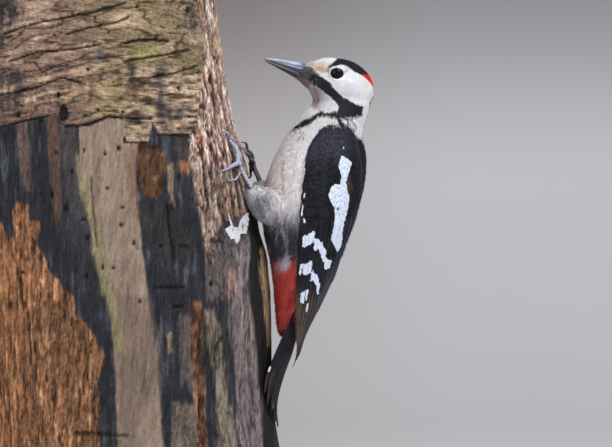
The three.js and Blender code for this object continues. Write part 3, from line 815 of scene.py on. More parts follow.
def make_vanes(title, flip, *fields):
    """Closed thin feathers in one piece, from grids over (feather, along, across).

    The fields are the places of tops and undersides, colour, how deep in the white, how far off the shaft
    and along it, and the place on the map.
    """
    tops, bottoms, colour, white, barb, along, spots = (np.array(field) for field in fields)
    count, rows, columns = tops.shape[:3]
    size = rows * columns
    places = np.concatenate([tops.reshape(count, size, 3), bottoms.reshape(count, size, 3)], axis=1)
    at = np.arange(size).reshape(rows, columns)
    upper = grid_faces(at.T)
    lower = upper[:, ::-1] + size
    loop = np.concatenate([at[:, 0], at[-1, 1:], at[-2::-1, -1], at[0, -2:0:-1]])
    after = np.roll(loop, -1)
    rim = np.stack([after, loop, loop + size, after + size], axis=-1)
    pattern = np.concatenate([upper, lower, rim])
    if flip:
        pattern = pattern[:, ::-1]
    faces = (np.arange(count)[:, None, None] * 2 * size + pattern[None]).reshape(-1, 4)
    piece = piece_from(title, places, faces)
    keep_for(piece, coat=twice(colour), white=twice(white), barb=twice(barb), along=twice(along))
    lay_map(piece, twice(spots))
    return piece


def shoulder_edge(height):
    """Where the folded wing's front edge lies at heights over the shoulder."""
    return np.interp(height, [198, 204, 207.7, 213.5, 217.3, 220.5, 221.5],
        [-90, 74.5, 76, 78.9, 81.8, 84.7, 87.6])


def wing_ring(height, share=0.0):
    """The folded wing's section at heights, and the angle round it at a share of its width."""
    front, back, middle, half, thick, back_angle = np.moveaxis(SHARED["wing"](height), -1, 0)
    last = np.radians(back_angle)
    deep = (back - middle) / np.cos(last)
    angle = np.arccos(np.clip((front + share * (back - front) - middle) / deep, -1, 1))
    return middle, deep, half, thick, last, angle


def on_wing(height, angle, lift, side):
    """A point lift mm over the folded wing's outer face, at an angle round it."""
    middle, deep, half, thick, last, first = wing_ring(height)
    across = np.clip((angle - first) / (last - first), -0.1, 1.1)
    fall = np.where(across < 0.5, 0.2, 0.65) * thick * np.abs(2 * across - 1) ** 6
    x = np.maximum(middle + (deep - fall + lift) * np.cos(angle), shoulder_edge(height))
    y = side * (half - fall + lift) * np.sin(angle)
    return np.stack([x, y, height + 0 * x], axis=-1)


def wing_angle(height, share):
    """The angle round the wing at a share of its width in the side view, and the radius there."""
    _, deep, half, _, _, angle = wing_ring(height, share)
    return angle, np.hypot(deep * np.sin(angle), half * np.cos(angle))


def dark_tone(points, share, chance):
    """The wing's near-black with a painted purple-grey sheen, stronger at the shoulder and the back edge,
    for each feather.
    """
    across, height = side_view(points)
    # Painted sheen, stronger at the shoulder and along the back edge.
    sheen = 0.08 + 0.5 * ramp(198, 212, height) + 0.6 * ramp(0.84, 0.97, share)
    sheen = sheen + 0.3 * cloud(points, (6, 6, 14), 61) + 0.25 * cloud(points, (1.4, 1.4, 16), 62, 2)
    sheen = sheen + chance.normal(0, 0.03, height.shape)
    brown = 0.7 * spot_at(across, height, (97.9, 190.2), (2.2, 4.5), 0.8)
    return mixed(mixed(WING_DARK, WING_SHEEN, np.clip(sheen, 0, 0.9)), WING_BROWN, brown)


# Rows of coverts from the flight feathers up, the last kind repeated: pitch, length and width in mm. They
# start along an edge, share of the wing and height, and end so far above it.
COVERT_ROWS = ((6.2, 13.5, 4.4), (4.2, 10.0, 4.0), (4.2, 10.0, 4.0), (2.6, 7.2, 3.2))
COVERT_EDGE = ((0, 166), (0.3, 166), (0.5, 163.5), (0.64, 158.5), (0.8, 153.6), (0.95, 152.5), (1, 155))
COVERT_REACH = 66
WING_TOP = WING[0][0]
# Rows and columns of the grid on a feather of each kind.
COVERT_GRID = (8, 7)
FLIGHT_GRID = (96, 7)
TAIL_GRID = (80, 7)
# Tail feathers from the middle pair out: place as a share of the tail's half width, and height of the tip.
TAIL_FEATHERS = ((0.1, 59.6), (0.3, 62.2), (0.5, 66.2), (0.7, 71.5), (0.88, 78.5))


def wing_coverts(side, seed):
    """Small feathers in rows over the upper wing and shoulder."""
    chance = np.random.default_rng(seed)
    chosen = []
    edge = curve_through(COVERT_EDGE)
    row = 0
    drop = 0.0
    while drop < COVERT_REACH:
        pitch, length, width = COVERT_ROWS[min(row, len(COVERT_ROWS) - 1)]
        probe = np.linspace(0, 1, 160)
        height = edge(probe)[:, 0] + drop
        angle, _ = wing_angle(height, probe)
        place = on_wing(height, angle, 0 * probe, side)
        gone = np.concatenate([[0], np.cumsum(np.linalg.norm(np.diff(place, axis=0), axis=1))])
        count = max(3, int(gone[-1] / (0.62 * width)))
        at = (np.arange(count) + (0.25 if row % 2 else 0.75)) / count * gone[-1]
        share = np.interp(at, gone, probe)
        keep = edge(share)[:, 0] + drop < WING_TOP - 1.5
        share = share[keep]
        tip = edge(share)[:, 0] + drop + chance.normal(0, 0.45, len(share))
        chosen.append([tip, share, 0 * share + length, 0 * share + width])
        drop += pitch
        row += 1
    tip, share, length, width = np.concatenate(chosen, axis=1)
    rows, columns = COVERT_GRID
    t = np.linspace(0, 1, rows)[None, :, None]
    v = np.linspace(-1, 1, columns)[None, None, :]
    count = len(tip)
    fray = chance.normal(0, 0.5, (count, 1, columns)) * (t > 0.99)
    height = tip[:, None, None] + (1 - t) * length[:, None, None] + 1.5 * v**2 * t**3 + fray
    root = np.minimum(tip + length, WING_TOP)
    angle, radius = wing_angle(tip, share)
    across = np.sqrt(np.clip(1 - np.clip((t - 0.55) / 0.6, 0, 1) ** 2, 0.02, 1)) * (0.75 + 0.25 * t)
    turn = 0.5 * width[:, None, None] * across * v / np.maximum(radius, 9)[:, None, None]
    angle = angle[:, None, None] - turn + chance.normal(0, 0.012, (count, 1, 1)) * t
    height = np.minimum(height, WING_TOP - 0.3)
    lift = -0.66 + 0.31 * t - 0.08 * v**2 + chance.normal(0, 0.03, (count, 1, 1))
    lift = lift - 1.1 * ramp(217, 222, height)
    tops = on_wing(height, angle, lift, side)
    bottoms = on_wing(height, angle, lift - 0.16, side)
    middle = tops[:, rows // 2, columns // 2]
    colour = dark_tone(middle, share, chance)
    shade = 1 + 0.05 * ramp(0.7, 1.0, np.abs(v) + 0 * t) * (0.4 + 0.6 * t)
    colour = colour[:, None, None, :] * (shade + 0 * height)[..., None]
    barb = v * 0.5 * width[:, None, None] + 0 * height
    along = (1 - t) * length[:, None, None] + 0 * height
    roots = on_wing(root, wing_angle(root, share)[0], -1.5, side)
    patch = np.stack([0 * height + v, 0 * height + 2 * t - 1], axis=-1) * HALF_PATCH
    spots = map_spots(roots)[:, None, None, :] + patch
    white = white_depth(tops, FLIGHT_SPOTS + [SCAPULAR_OUTLINE])
    return make_vanes("wing_coverts_" + SIDE_NAMES[side], side > 0, tops, bottoms, colour, white, barb,
        along, spots)


def flight_feathers(side):
    """The folded flight feathers, each lying over the edge of the one in front of it."""
    rows, columns = FLIGHT_GRID
    t = np.linspace(0, 1, rows)[:, None]
    v = np.linspace(0, 1, columns)[None, :]
    feathers = []
    for index, (tip, *fronts) in enumerate(FLIGHTS):
        tertial = index >= 10
        width = 7.2 if tertial else 6.2
        height = 178 + (tip - 178) * t**0.96 + 0 * v
        share = curve_through(list(zip(FLIGHT_HEIGHTS, fronts)))(height[:, 0])[:, 0]
        angle, radius = wing_angle(height[:, 0], share)
        left = height[:, 0] - tip
        point = np.sqrt(np.clip(1 - (1 - np.clip(left / (5.5 if tertial else 11), 0, 1)) ** 2, 0.0004, 1))
        local = np.minimum(width, 0.9 * width * ramp(88, 120, height[:, 0]) + 2.6)
        turn = local[:, None] * (0.3 * (1 - point[:, None]) + point[:, None] * v)
        edge_wave = 0.12 * np.sin(height * 2.1 + index) * (v == 0)
        angle = angle[:, None] - (turn + edge_wave) / np.maximum(radius, 7)[:, None]
        last = np.radians(SHARED["wing"](height[:, 0])[:, 5])[:, None]
        angle = np.maximum(angle, last * 0.85 - 0.02)
        lift = -0.95 + 0.78 * (1 - v) ** 0.8 + 0 * t
        lift = lift + 0.12 * bell(v, 0.42, 0.09) - 0.25 * (t > 0.97) - 0.9 * ramp(168, 177, height)
        if tertial:
            lift = lift + 0.12
        height = height - 0.8 * (v - 0.4) ** 2 * ramp(12, 0, left)[:, None]
        top = on_wing(height, angle, lift, side)
        cloudy = cloud(top, (3, 3, 9), 71)
        # Painted sheen: lighter towards the back low down, along each feather's front edge, and on the
        # tertials.
        sheen = 0.1 + 0.5 * ramp(0.45, 0.9, share)[:, None] * ramp(152, 138, height) + 0.15 * (1 - v) ** 3
        sheen = np.clip(sheen + 0.3 * cloudy + (0.1 if tertial else 0), 0, 1)
        colour = mixed(WING_DARK, mixed(WING_SHEEN, BLUE_SHEEN, ramp(0.4, 0.8, share)[:, None]), sheen)
        worn = ramp(0.6, 0.3, share)[:, None] * ramp(138, 122, height) * (0.55 + 0.5 * cloudy)
        colour = mixed(colour, WING_BROWN, np.clip(worn, 0, 0.9))
        edging = ramp(0.1, 0.0, v) * ramp(140, 126, height) * (0.5 + 0.5 * cloudy)
        feathers.append((
            top, on_wing(height, angle, lift - 0.22, side),
            mixed(colour, EDGE_PALE, np.clip(0.6 * edging, 0, 1)),
            white_depth(top, FLIGHT_SPOTS + [SCAPULAR_OUTLINE]), v * local[:, None], height,
            np.stack([(index + 0.1 + 0.8 * v + 0 * t) / len(FLIGHTS), (height - 88) / 92], axis=-1),
        ))
    return make_vanes("flight_feathers_" + SIDE_NAMES[side], side > 0, *zip(*feathers))


def tail_feathers():
    """Stiff tail feathers, the middle pair longest and on top."""
    tail = curve_through(TAIL)
    rows, columns = TAIL_GRID
    t = np.linspace(0, 1, rows)[:, None]
    v = np.linspace(-1, 1, columns)[None, :]
    feathers = []
    for rank, (middle, tip) in enumerate(TAIL_FEATHERS):
        for side in (-1, 1):
            height = 127 + (tip - 127) * t + 0 * v
            left = height[:, 0] - tip
            width = 4.6 * ramp(132, 104, height[:, 0]) * 0.6 + 2.1
            point = np.clip(left / 13, 0.03, 1) ** 0.62
            across_mm = v * (0.5 * width * point)[:, None]
            half = tail(np.clip(height, 59.5, 130))[..., 1]
            full = np.maximum(half, 17.4 * ramp(140, 92, height) + 4)
            y = side * middle * full * 0.97 + across_mm
            share = np.clip(y / np.maximum(full, 1e-3), -1.05, 1.05)
            ridge = tail(np.clip(height, 66, 130))[..., 0] + 0.12 * (66 - np.minimum(height, 66))
            fall = np.interp(height, [59, 70, 87, 99, 118, 130], [7.6, 8.2, 9, 8, 4, 2])
            lift = -0.1 - 0.3 * rank - 0.3 * v**2 + 0.1 * bell(v, 0, 0.15) + 0.05 * side
            x = ridge - fall * share**2 + lift
            top = np.stack([x, y, height - 0.5 * v**2 * ramp(8, 0, left)[:, None]], axis=-1)
            # Painted sheen, lighter along both edges of each feather.
            sheen = 0.05 + 0.2 * cloud(top, 5, 81) + 0.15 * (np.abs(v) > 0.8)
            colour = mixed(WING_DARK, WING_SHEEN, np.clip(sheen, 0, 1))
            worn = ramp(70, 60, height) * 0.6 + 0.8 * (rank >= 3) * ramp(0.4, 1.0, v * side) * ramp(94, 88,
                height)
            lane = rank * 2 + (side > 0)
            feathers.append((
                top, top - (0.28, 0, 0), mixed(colour, WING_BROWN, np.clip(worn, 0, 1)),
                white_depth(top, [TAIL_SPOT]), across_mm, height,
                np.stack([(lane + 0.5 + 0.4 * v + 0 * t) / 10, (height - 56) / 74], axis=-1),
            ))
    return make_vanes("tail_feathers", False, *zip(*feathers))


# ---------------------------------------------------------------- materials

def add_node(tree, kind, inputs=None, **settings):
    """Adds a node; each input is another node's output socket or a plain value."""
    node = tree.nodes.new(kind)
    for name, value in settings.items():
        setattr(node, name, value)
    feed(tree, node, inputs or {})
    return node


def feed(tree, node, inputs):
    """Joins other nodes' outputs to a node's inputs, or sets plain values there."""
    for name, value in inputs.items():
        if isinstance(value, bpy.types.NodeSocket):
            tree.links.new(value, node.inputs[name])
        else:
            node.inputs[name].default_value = value


def add_group(title, vectors, numbers, outputs):
    """An empty node group with named sockets, and its two end nodes."""
    group = bpy.data.node_groups.new(title, "ShaderNodeTree")
    for names, way, kind in (
        (vectors, "INPUT", "NodeSocketVector"), (numbers, "INPUT", "NodeSocketFloat"),
        (outputs, "OUTPUT", "NodeSocketFloat"),
    ):
        for name in names:
            group.interface.new_socket(name=name, in_out=way, socket_type=kind)
    return group, group.nodes.new("NodeGroupInput").outputs, group.nodes.new("NodeGroupOutput")


def sums(tree, operation, first, second=0.5, third=0.5):
    """A Math node's output."""
    return add_node(tree, "ShaderNodeMath", {0: first, 1: second, 2: third}, operation=operation).outputs[0]


def scaled(tree, value, share, plus=0.0):
    """A value multiplied by a share, and something added."""
    return sums(tree, "MULTIPLY_ADD", value, share, plus)


def times(tree, first, second):
    """A vector or a colour multiplied by another or by a number."""
    return add_node(tree, "ShaderNodeVectorMath", {0: first, 1: second}, operation="MULTIPLY").outputs[0]


def stepped(tree, value, low, high):
    """0 at low, 1 at high, smooth between."""
    inputs = {"Value": value, "From Min": low, "From Max": high}
    return add_node(tree, "ShaderNodeMapRange", inputs, interpolation_type="SMOOTHSTEP").outputs[0]


def mottle_group():
    """Blotches of lighter and darker: gives a share from 0 to 1, on a stretched grain."""
    group, start, end = add_group("Mottle", ["Place", "Stretch"], ["Size", "Low", "High"], ["Share"])
    blobs = add_node(group, "ShaderNodeTexNoise", {
        "Vector": times(group, start["Place"], start["Stretch"]), "Scale": start["Size"], "Detail": 4.0,
        "Roughness": 0.6})
    feed(group, end, {"Share": stepped(group, blobs.outputs["Fac"], start["Low"], start["High"])})
    return group


def barb_group():
    """The fine barbs of a vane, slanting off its shaft: a height for bump and a shade."""
    group, start, end = add_group("Barbs", [], ["Barb", "Along", "Spacing"], ["Height", "Shade"])
    slant = scaled(group, sums(group, "ABSOLUTE", start["Barb"]), 1.4, start["Along"])
    turns = sums(group, "DIVIDE", slant, start["Spacing"])
    wave = sums(group, "SINE", scaled(group, turns, math.tau))
    place = add_node(group, "ShaderNodeCombineXYZ", {0: start["Barb"], 1: start["Along"]})
    split = add_node(group, "ShaderNodeTexNoise", {
        "Vector": place.outputs[0], "Scale": 0.7, "Detail": 3.0, "Distortion": 0.4}).outputs["Fac"]
    feed(group, end, {"Height": scaled(group, wave, 0.5, split),
                      "Shade": scaled(group, split, 0.5, 0.75)})
    return group


def place_group(tree, maker, inputs):
    """One use of a shared effect, with this material's own values."""
    return add_node(tree, "ShaderNodeGroup", inputs, node_tree=shared(maker)).outputs


def mottle(tree, size, low=0.3, high=0.7, stretch=(1, 1, 1), place=None):
    """Blotches on a material: their size, where light turns to dark, and how the grain is stretched."""
    inputs = {"Place": place or object_place(tree), "Stretch": stretch, "Size": size, "Low": low,
        "High": high}
    return place_group(tree, mottle_group, inputs)[0]


def new_material(title, **values):
    """A material with a Principled shader whose plain values are set on its own sockets."""
    material = bpy.data.materials.new(title)
    material.use_nodes = True
    tree = material.node_tree
    tree.nodes.clear()
    shader = tree.nodes.new("ShaderNodeBsdfPrincipled")
    add_node(tree, "ShaderNodeOutputMaterial", {0: shader.outputs[0]})
    feed(tree, shader, {name.replace("_", " "): value for name, value in values.items()})
    return material, tree, shader


def shared(maker, *values):
    """A material or group that is made once and then found again."""
    key = (maker.__name__, *values)
    if key not in SHARED:
        SHARED[key] = maker(*values)
    return SHARED[key]


def kept_value(tree, name):
    """A number that the piece keeps for each vertex."""
    return add_node(tree, "ShaderNodeAttribute", attribute_name=name).outputs["Fac"]


def kept_colour(tree):
    """The colour that the piece keeps for each vertex."""
    return add_node(tree, "ShaderNodeAttribute", attribute_name="coat").outputs["Color"]


def object_place(tree):
    """Object coordinates."""
    return add_node(tree, "ShaderNodeTexCoord").outputs["Object"]


def blend(tree, share, first, second, kind="MIX"):
    """A colour mixed from two."""
    inputs = {0: share, 6: first, 7: second}
    return add_node(tree, "ShaderNodeMix", inputs, data_type="RGBA", blend_type=kind).outputs[2]


def bumped(tree, shader, height, strength, distance):
    """Feeds a height to the shader's normal."""
    bump = add_node(tree, "ShaderNodeBump", {"Height": height, "Strength": strength, "Distance": distance})
    feed(tree, shader, {"Normal": bump.outputs[0]})


def shaded(tree, shader, colour, blotches, swing, middle):
    """Gives the shader a colour that is lighter and darker in blotches."""
    shade = scaled(tree, blotches, swing, middle)
    feed(tree, shader, {"Base Color": times(tree, colour, shade)})


def plumage_material(title, roughness):
    """Soft body plumage: each barb's own colour, mottled, glossier where it is black."""
    material, tree, shader = new_material(title, Roughness=roughness, Specular_IOR_Level=0.35)
    shaded(tree, shader, kept_colour(tree), mottle(tree, 900.0), 0.16, 0.92)
    feed(tree, shader, {"Roughness": scaled(tree, kept_value(tree, "gloss"), -0.45, roughness)})
    return material


def vane_material(title, white):
    """Dark wing and tail vanes with crisp white spots and fine barbs."""
    material, tree, shader = new_material(title, Roughness=0.6, Specular_IOR_Level=0.16)
    barbs = place_group(tree, barb_group, {
        "Barb": kept_value(tree, "barb"), "Along": kept_value(tree, "along"), "Spacing": 0.55})
    ragged = scaled(tree, mottle(tree, 700.0, 0.2, 0.8), 0.7, -0.35)
    share = stepped(tree, sums(tree, "ADD", kept_value(tree, "white"), ragged), -0.12, 0.12)
    colour = times(tree, blend(tree, share, kept_colour(tree), white), barbs["Shade"])
    feed(tree, shader, {"Base Color": colour, "Roughness": scaled(tree, share, 0.25, 0.5)})
    bumped(tree, shader, barbs["Height"], 0.25, 0.0001)
    return material


def skin_material():
    """Bare skin: plumage colours under the coat, horny rings on the toes, soft lids."""
    material, tree, shader = new_material("bird_skin", Roughness=0.6, Specular_IOR_Level=0.4)
    blotches = mottle(tree, 1400.0)
    shaded(tree, shader, kept_colour(tree), blotches, 0.4, 0.78)
    bumped(tree, shader, sums(tree, "ADD", kept_value(tree, "ring"), blotches), 0.5, 0.0002)
    return material


def horn_material(title, roughness, fine):
    """Bill or claw horn: fine streaks on the piece's own colours."""
    material, tree, shader = new_material(
        title, Roughness=roughness, Specular_IOR_Level=0.5, Coat_Weight=0.15, Coat_Roughness=0.25)
    streaks = mottle(tree, fine, stretch=(0.2, 1, 1))
    shaded(tree, shader, kept_colour(tree), streaks, 0.3, 0.85)
    bumped(tree, shader, streaks, 0.15, 0.0001)
    return material


def eye_material():
    """A wet dark eye: deep red-brown iris round a black pupil."""
    material, tree, shader = new_material(
        "eye", Roughness=0.1, Specular_IOR_Level=0.0, Coat_Weight=0.34, Coat_Roughness=0.02)
    band = add_node(tree, "ShaderNodeValToRGB", {0: scaled(tree, kept_value(tree, "iris"), 0.2)})
    stops = band.color_ramp.elements
    stops[0].position, stops[0].color = 0.37, paint(5, 5, 7)
    stops[1].position, stops[1].color = 0.41, paint(26, 13, 14)
    for position, shade in ((0.66, paint(18, 10, 11)), (0.72, paint(8, 7, 9))):
        stops.new(position).color = shade
    shaded(tree, shader, band.outputs[0], mottle(tree, 2500.0), 0.5, 0.75)
    return material


def trunk_material():
    """Dead wood: colours kept on the piece, with grain along the trunk or, where it is level, across it."""
    material, tree, shader = new_material("dead_wood", Roughness=0.85, Specular_IOR_Level=0.3)
    place = add_node(tree, "ShaderNodeMapping", {
        "Vector": object_place(tree), "Rotation": (0, math.radians(-9), 0)}).outputs[0]

    def grain(stretch, size):
        return mottle(tree, size, stretch=stretch, place=place)

    upright = sums(tree, "ADD", grain((1, 1, 0.1), 900.0), grain((1, 1, 0.16), 320.0))
    across = sums(tree, "ADD", grain((0.14, 0.14, 1), 620.0), grain((0.25, 0.25, 1), 1300.0))
    turned = sums(tree, "SUBTRACT", across, upright)
    lines = scaled(tree, turned, kept_value(tree, "level"), upright)
    specks = scaled(tree, grain((1, 1, 0.6), 700.0), 0.28, -0.5)
    swing = scaled(tree, scaled(tree, lines, 0.36, specks), kept_value(tree, "coarse"))
    shaded(tree, shader, kept_colour(tree), swing, 1.5, 1.0)
    bumped(tree, shader, swing, 0.9, 0.0016)
    return material


def stand_wood_material():
    """Oiled dark wood for the stand's base."""
    material, tree, shader = new_material(
        "stand_wood", Roughness=0.42, Specular_IOR_Level=0.5, Coat_Weight=0.2, Coat_Roughness=0.3)
    grain = mottle(tree, 160.0, stretch=(0.06, 1, 1))
    pores = mottle(tree, 900.0, 0.45, stretch=(0.05, 1, 1))
    colour = blend(tree, grain, paint(58, 38, 26), paint(98, 66, 44))
    colour = blend(tree, scaled(tree, pores, 0.4), colour, paint(34, 22, 16))
    feed(tree, shader, {"Base Color": colour})
    bumped(tree, shader, pores, 0.2, 0.0002)
    return material


def rod_material():
    """Brushed steel for the stand's rods."""
    material, tree, shader = new_material("brushed_steel", Roughness=0.35, Metallic=1.0)
    brush = mottle(tree, 2000.0, stretch=(1, 1, 0.03))
    feed(tree, shader, {
        "Base Color": blend(tree, brush, paint(150, 150, 152), paint(196, 196, 198)),
        "Roughness": scaled(tree, brush, 0.2, 0.28)})
    return material


# ---------------------------------------------------------------- bare parts

def eye_centre(side):
    """The middle of an eyeball."""
    place = HEAD_ROOT + EYE_PLACE["back"] * HEAD_BACK + EYE_PLACE["up"] * HEAD_UP
    return place + np.array([0.0, side * EYE_PLACE["out"], 0.0])


# A lid lies on a ball round the eye's middle: its radius, how far from its axis the lid ends, its tilt.
LID_DOME = 5.32
LID_EDGE = 5.3
LID_TILT = math.radians(10)


def make_lid(side):
    """A lid that closes over the eyeball all round its opening, with a soft pale rim and fine wrinkles."""
    let_go()
    centre = eye_centre(side)
    bpy.ops.mesh.primitive_torus_add(
        major_radius=3.55 * MM, minor_radius=0.5 * MM, major_segments=80, minor_segments=24,
        location=(0, 0, 0), rotation=(math.radians(90), 0, 0))
    lid = bpy.context.object
    bpy.ops.object.transform_apply()
    places, _ = corners_of(lid)
    gone = np.hypot(places[:, 0], places[:, 2])
    across, up = places[:, 0] / gone, places[:, 2] / gone
    out = np.clip((gone - 3.05) / 1.0, 0, 1)
    rim = np.hypot(EYE_OPENING[0] * across, EYE_OPENING[1] * up)
    reach = rim + out * (LID_EDGE - rim)
    dome = LID_DOME + 0.05 * np.sin(np.arctan2(up, across) * 26) * ramp(0.1, 0.4, out)
    face = np.where(side * places[:, 1] > 0, dome, dome - 0.35) + 0.12 * ramp(0.25, 0.0, out)
    high = np.sqrt(np.maximum(face**2 - (reach * np.where(out > 0.97, 1.01, 1.0))**2, 0))
    cosine, sine = math.cos(LID_TILT), math.sin(LID_TILT)
    x, z = reach * across, reach * up + EYE_OPENING[2] * (1 - out)
    turned = np.stack([x * cosine + z * sine, side * high, z * cosine - x * sine], axis=1)
    place_corners(lid, turned + centre)
    lid.name = "lid"
    colour, _ = body_marks(turned + centre, np.zeros(len(turned)))
    wide = reach - rim
    colour = mixed(tone(224, 223, 231), colour, ramp(0.8, 1.1, wide))
    colour = mixed(tone(30, 28, 33), colour, ramp(0.03, 0.2, wide))
    feathered = (wide > 0.9) & (out < 0.97) & (side * places[:, 1] > 0) & (np.arange(len(out)) % 3 == 0)
    keep_for(lid, coat=colour, ring=0 * wide, grower=feathered)
    return lid


def skin_piece(sizes):
    """One skin for head, neck, trunk, wings, tail root, legs and feet, with the lids."""
    wings = copy_of_solids(["wing_left", "wing_right"], "wing_skin")
    cut_below(wings, 132)
    tail = copy_of_solids(["tail"], "tail_skin")
    cut_below(tail, 112)
    body = copy_of_solids(["head", "neck", "torso", "thigh_left", "thigh_right"], "bird_skin")
    body = remeshed(joined([body, wings, tail]), 0.95, 10)
    make_guides()
    sink_skin(body, sizes)
    finish_modifier(body, "SMOOTH", factor=0.5, iterations=3)
    unwrap_skin(body)
    places, _ = corners_of(body)
    owner = owner_of(places)
    colour, _ = body_marks(places, stands_for(owner, "thigh_left", "thigh_right").astype(float))
    vaned = stands_for(owner, "wing_left", "wing_right", "tail") & ~over_shoulder(places)
    colour = np.where(vaned[:, None], WING_DARK, colour)
    # The grower is the number, from 1, of the solid that a tuft rooted there stands for.
    keep_for(body, coat=colour, ring=0 * owner, grower=owner + 1)

    feet = remeshed(copy_of_solids(["tarsus_left", "tarsus_right", "foot_left", "foot_right"], "feet_skin"),
        0.34, 5)
    foot_places, foot_facing = corners_of(feet)
    rings, foot_colour = foot_scutes(foot_places, foot_facing)
    place_corners(feet, foot_places + foot_facing * (0.14 * rings - 0.06)[:, None])
    keep_for(feet, coat=foot_colour, ring=rings, grower=0 * rings)
    lids = [make_lid(side) for side in (-1, 1)]
    whole = joined([body, feet, *lids])
    bpy.ops.object.shade_smooth()
    SHARED["skin_piece"] = whole
    SHARED["skin"] = tree_of(whole)
    return whole


def cut_below(piece, height):
    """Keeps what lies above a height and closes the cut."""
    edited(piece, bpy.ops.mesh.bisect, plane_co=(0, 0, height * MM), plane_no=(0, 0, 1), use_fill=True,
           clear_inner=True)


def foot_scutes(places, facing):
    """Horny rings round tarsus and toes: their height, and the foot's colours, with painted light and
    shade.
    """
    left = places[:, 1] < 0
    ball = np.where(left[:, None], [45.0, -20.2, 199.9], [45.0, 13.0, 201.2])
    gone = np.linalg.norm(places - ball, axis=1)
    tarsus = places[:, 2] < ball[:, 2] - 3
    gone = np.where(tarsus, ball[:, 2] - places[:, 2], gone)
    turns = gone / np.where(tarsus, 1.7, 1.15)
    ring = ramp(0.95, 0.7, np.abs(2 * (turns - np.floor(turns)) - 1))
    mottled = cloud(places, (1.2, 1.2, 2.4), 91)
    # Painted light: toes lighter where they face up and towards the near side, the tarsus where it faces
    # back.
    lit = ramp(-0.5, 0.7, facing[:, 2] - 0.4 * facing[:, 1] + 0.4 * mottled)
    toes = mixed(tone(62, 62, 74), tone(176, 180, 202), lit)
    shank = mixed(tone(70, 66, 80), tone(186, 184, 196), ramp(-0.5, 0.6, facing[:, 0] + 0.5 * mottled))
    near = mixed(toes, shank, tarsus.astype(float))
    # The far foot is a darker copy: painted shade.
    dark = mixed(tone(52, 54, 62), tone(112, 116, 126), ramp(-0.3, 0.6, lit + 0.6 * mottled - 0.3))
    colour = np.where(left[:, None], near, dark)
    # Painted shade in the grooves between the rings.
    return ring, mixed(colour * 0.35, colour, 0.3 + 0.7 * ring)


def make_eye(side):
    """An eyeball with a slightly raised clear front."""
    let_go()
    centre = eye_centre(side)
    bpy.ops.mesh.primitive_uv_sphere_add(segments=64, ring_count=40, radius=EYE_PLACE["radius"] * MM,
                                         location=(0, 0, 0), rotation=(math.radians(90), 0, 0))
    ball = bpy.context.object
    bpy.ops.object.transform_apply()
    places, _ = corners_of(ball)
    outward = side * places[:, 1]
    off_axis = np.hypot(places[:, 0], places[:, 2])
    front = ramp(3.4, 2.0, off_axis) * (outward > 0)
    places[:, 1] += side * 0.22 * front
    off_axis = np.where(outward > 0, off_axis, 5.0)
    place_corners(ball, places + centre)
    bpy.ops.object.shade_smooth()
    keep_for(ball, iris=off_axis)
    ball.name = "eyeball_" + SIDE_NAMES[side]
    settle(ball, shared(eye_material), "eye", "eye_" + SIDE_NAMES[side])


def make_bill():
    """Both halves of the bill, smooth and ridged, in horn greys, lighter towards the top with painted
    highlights and darker below with painted shade.
    """
    for name in ("bill_upper", "bill_lower"):
        bill = remeshed(copy_of_solids([name], name + "_horn"), 0.26, 6)
        places, facing = corners_of(bill)
        gone = (places - HEAD_ROOT) @ -HEAD_BACK
        up = (places - HEAD_ROOT) @ HEAD_UP
        upper = name == "bill_upper"
        ridge_line = 1.1 - 0.03 * gone if upper else -1.3 + 0.03 * gone
        ridge = bell(up, ridge_line, 0.35) * ramp(24, 8, gone)
        second = bell(up, ridge_line - 0.9, 0.25) * ramp(18, 6, gone)
        place_corners(bill, places + facing * (0.16 * ridge - 0.1 * second)[:, None])
        noise = cloud(np.stack([gone / 6, up, places[:, 1]], 1), 0.7, 95)
        steps = np.clip((gone / 0.5).astype(int), 0, 79)
        low, high = np.full(80, 9.0), np.full(80, -9.0)
        np.minimum.at(low, steps, up)
        np.maximum.at(high, steps, up)
        level = (up - low[steps]) / np.maximum(high - low, 0.2)[steps] + 0.1 * noise
        # Painted light and shade: the upper bill lighter towards the top with a painted highlight, a light
        # streak and a dark line of painted shade under the ridge, and a darker tip; the lower bill darker
        # underneath, with a painted highlight along its top.
        colour = layered(
            tone(52, 54, 64), (tone(104, 110, 130), ramp(0.25, 0.5, level)),
            (tone(176, 186, 212), ramp(0.55, 0.8, level) * ramp(1.5, 4, gone)),
            (tone(146, 160, 196), 0.8 * bell(level, 0.42, 0.07) * ramp(13, 9, gone)),
            (tone(34, 36, 44), 0.8 * bell(level, 0.56, 0.05) * ramp(15, 10, gone)),
            (tone(60, 64, 78), 0.8 * ramp(21.5, 25, gone)),
        ) if upper else layered(
            tone(78, 78, 88), (tone(44, 43, 50), ramp(0.75, 0.4, level)),
            (tone(96, 104, 126), 0.7 * ramp(0.8, 1.0, level) * ramp(6, 9, gone) * ramp(22, 18, gone)),
        )
        keep_for(bill, coat=np.clip(colour * (1 + 0.22 * noise)[:, None], 0, 1))
        bpy.ops.object.shade_smooth()
        settle(bill, shared(horn_material, "bill_horn", 0.34, 900.0), "bill_horn", name)


def make_claws():
    """The claws of each foot, as one smooth piece of horn a foot."""
    for side in ("left", "right"):
        names = [f"claw_{side}_{number}" for number in range(1, 5)]
        claws = remeshed(copy_of_solids(names, f"claws_{side}"), 0.2, 4)
        places, facing = corners_of(claws)
        noise = cloud(places, 1.4, 97)
        # Painted light and shade: lighter where a claw faces up, and the far foot's claws darker.
        light = tone(168, 162, 190) if side == "left" else tone(132, 130, 150)
        dark = tone(88, 80, 112) if side == "left" else tone(70, 68, 86)
        keep_for(claws, coat=mixed(dark, light, ramp(-0.5, 0.6, facing[:, 2] + 0.6 * noise)))
        bpy.ops.object.shade_smooth()
        settle(claws, shared(horn_material, "claw_horn", 0.3, 1200.0), "claw_horn", *names)


# ---------------------------------------------------------------- trunk

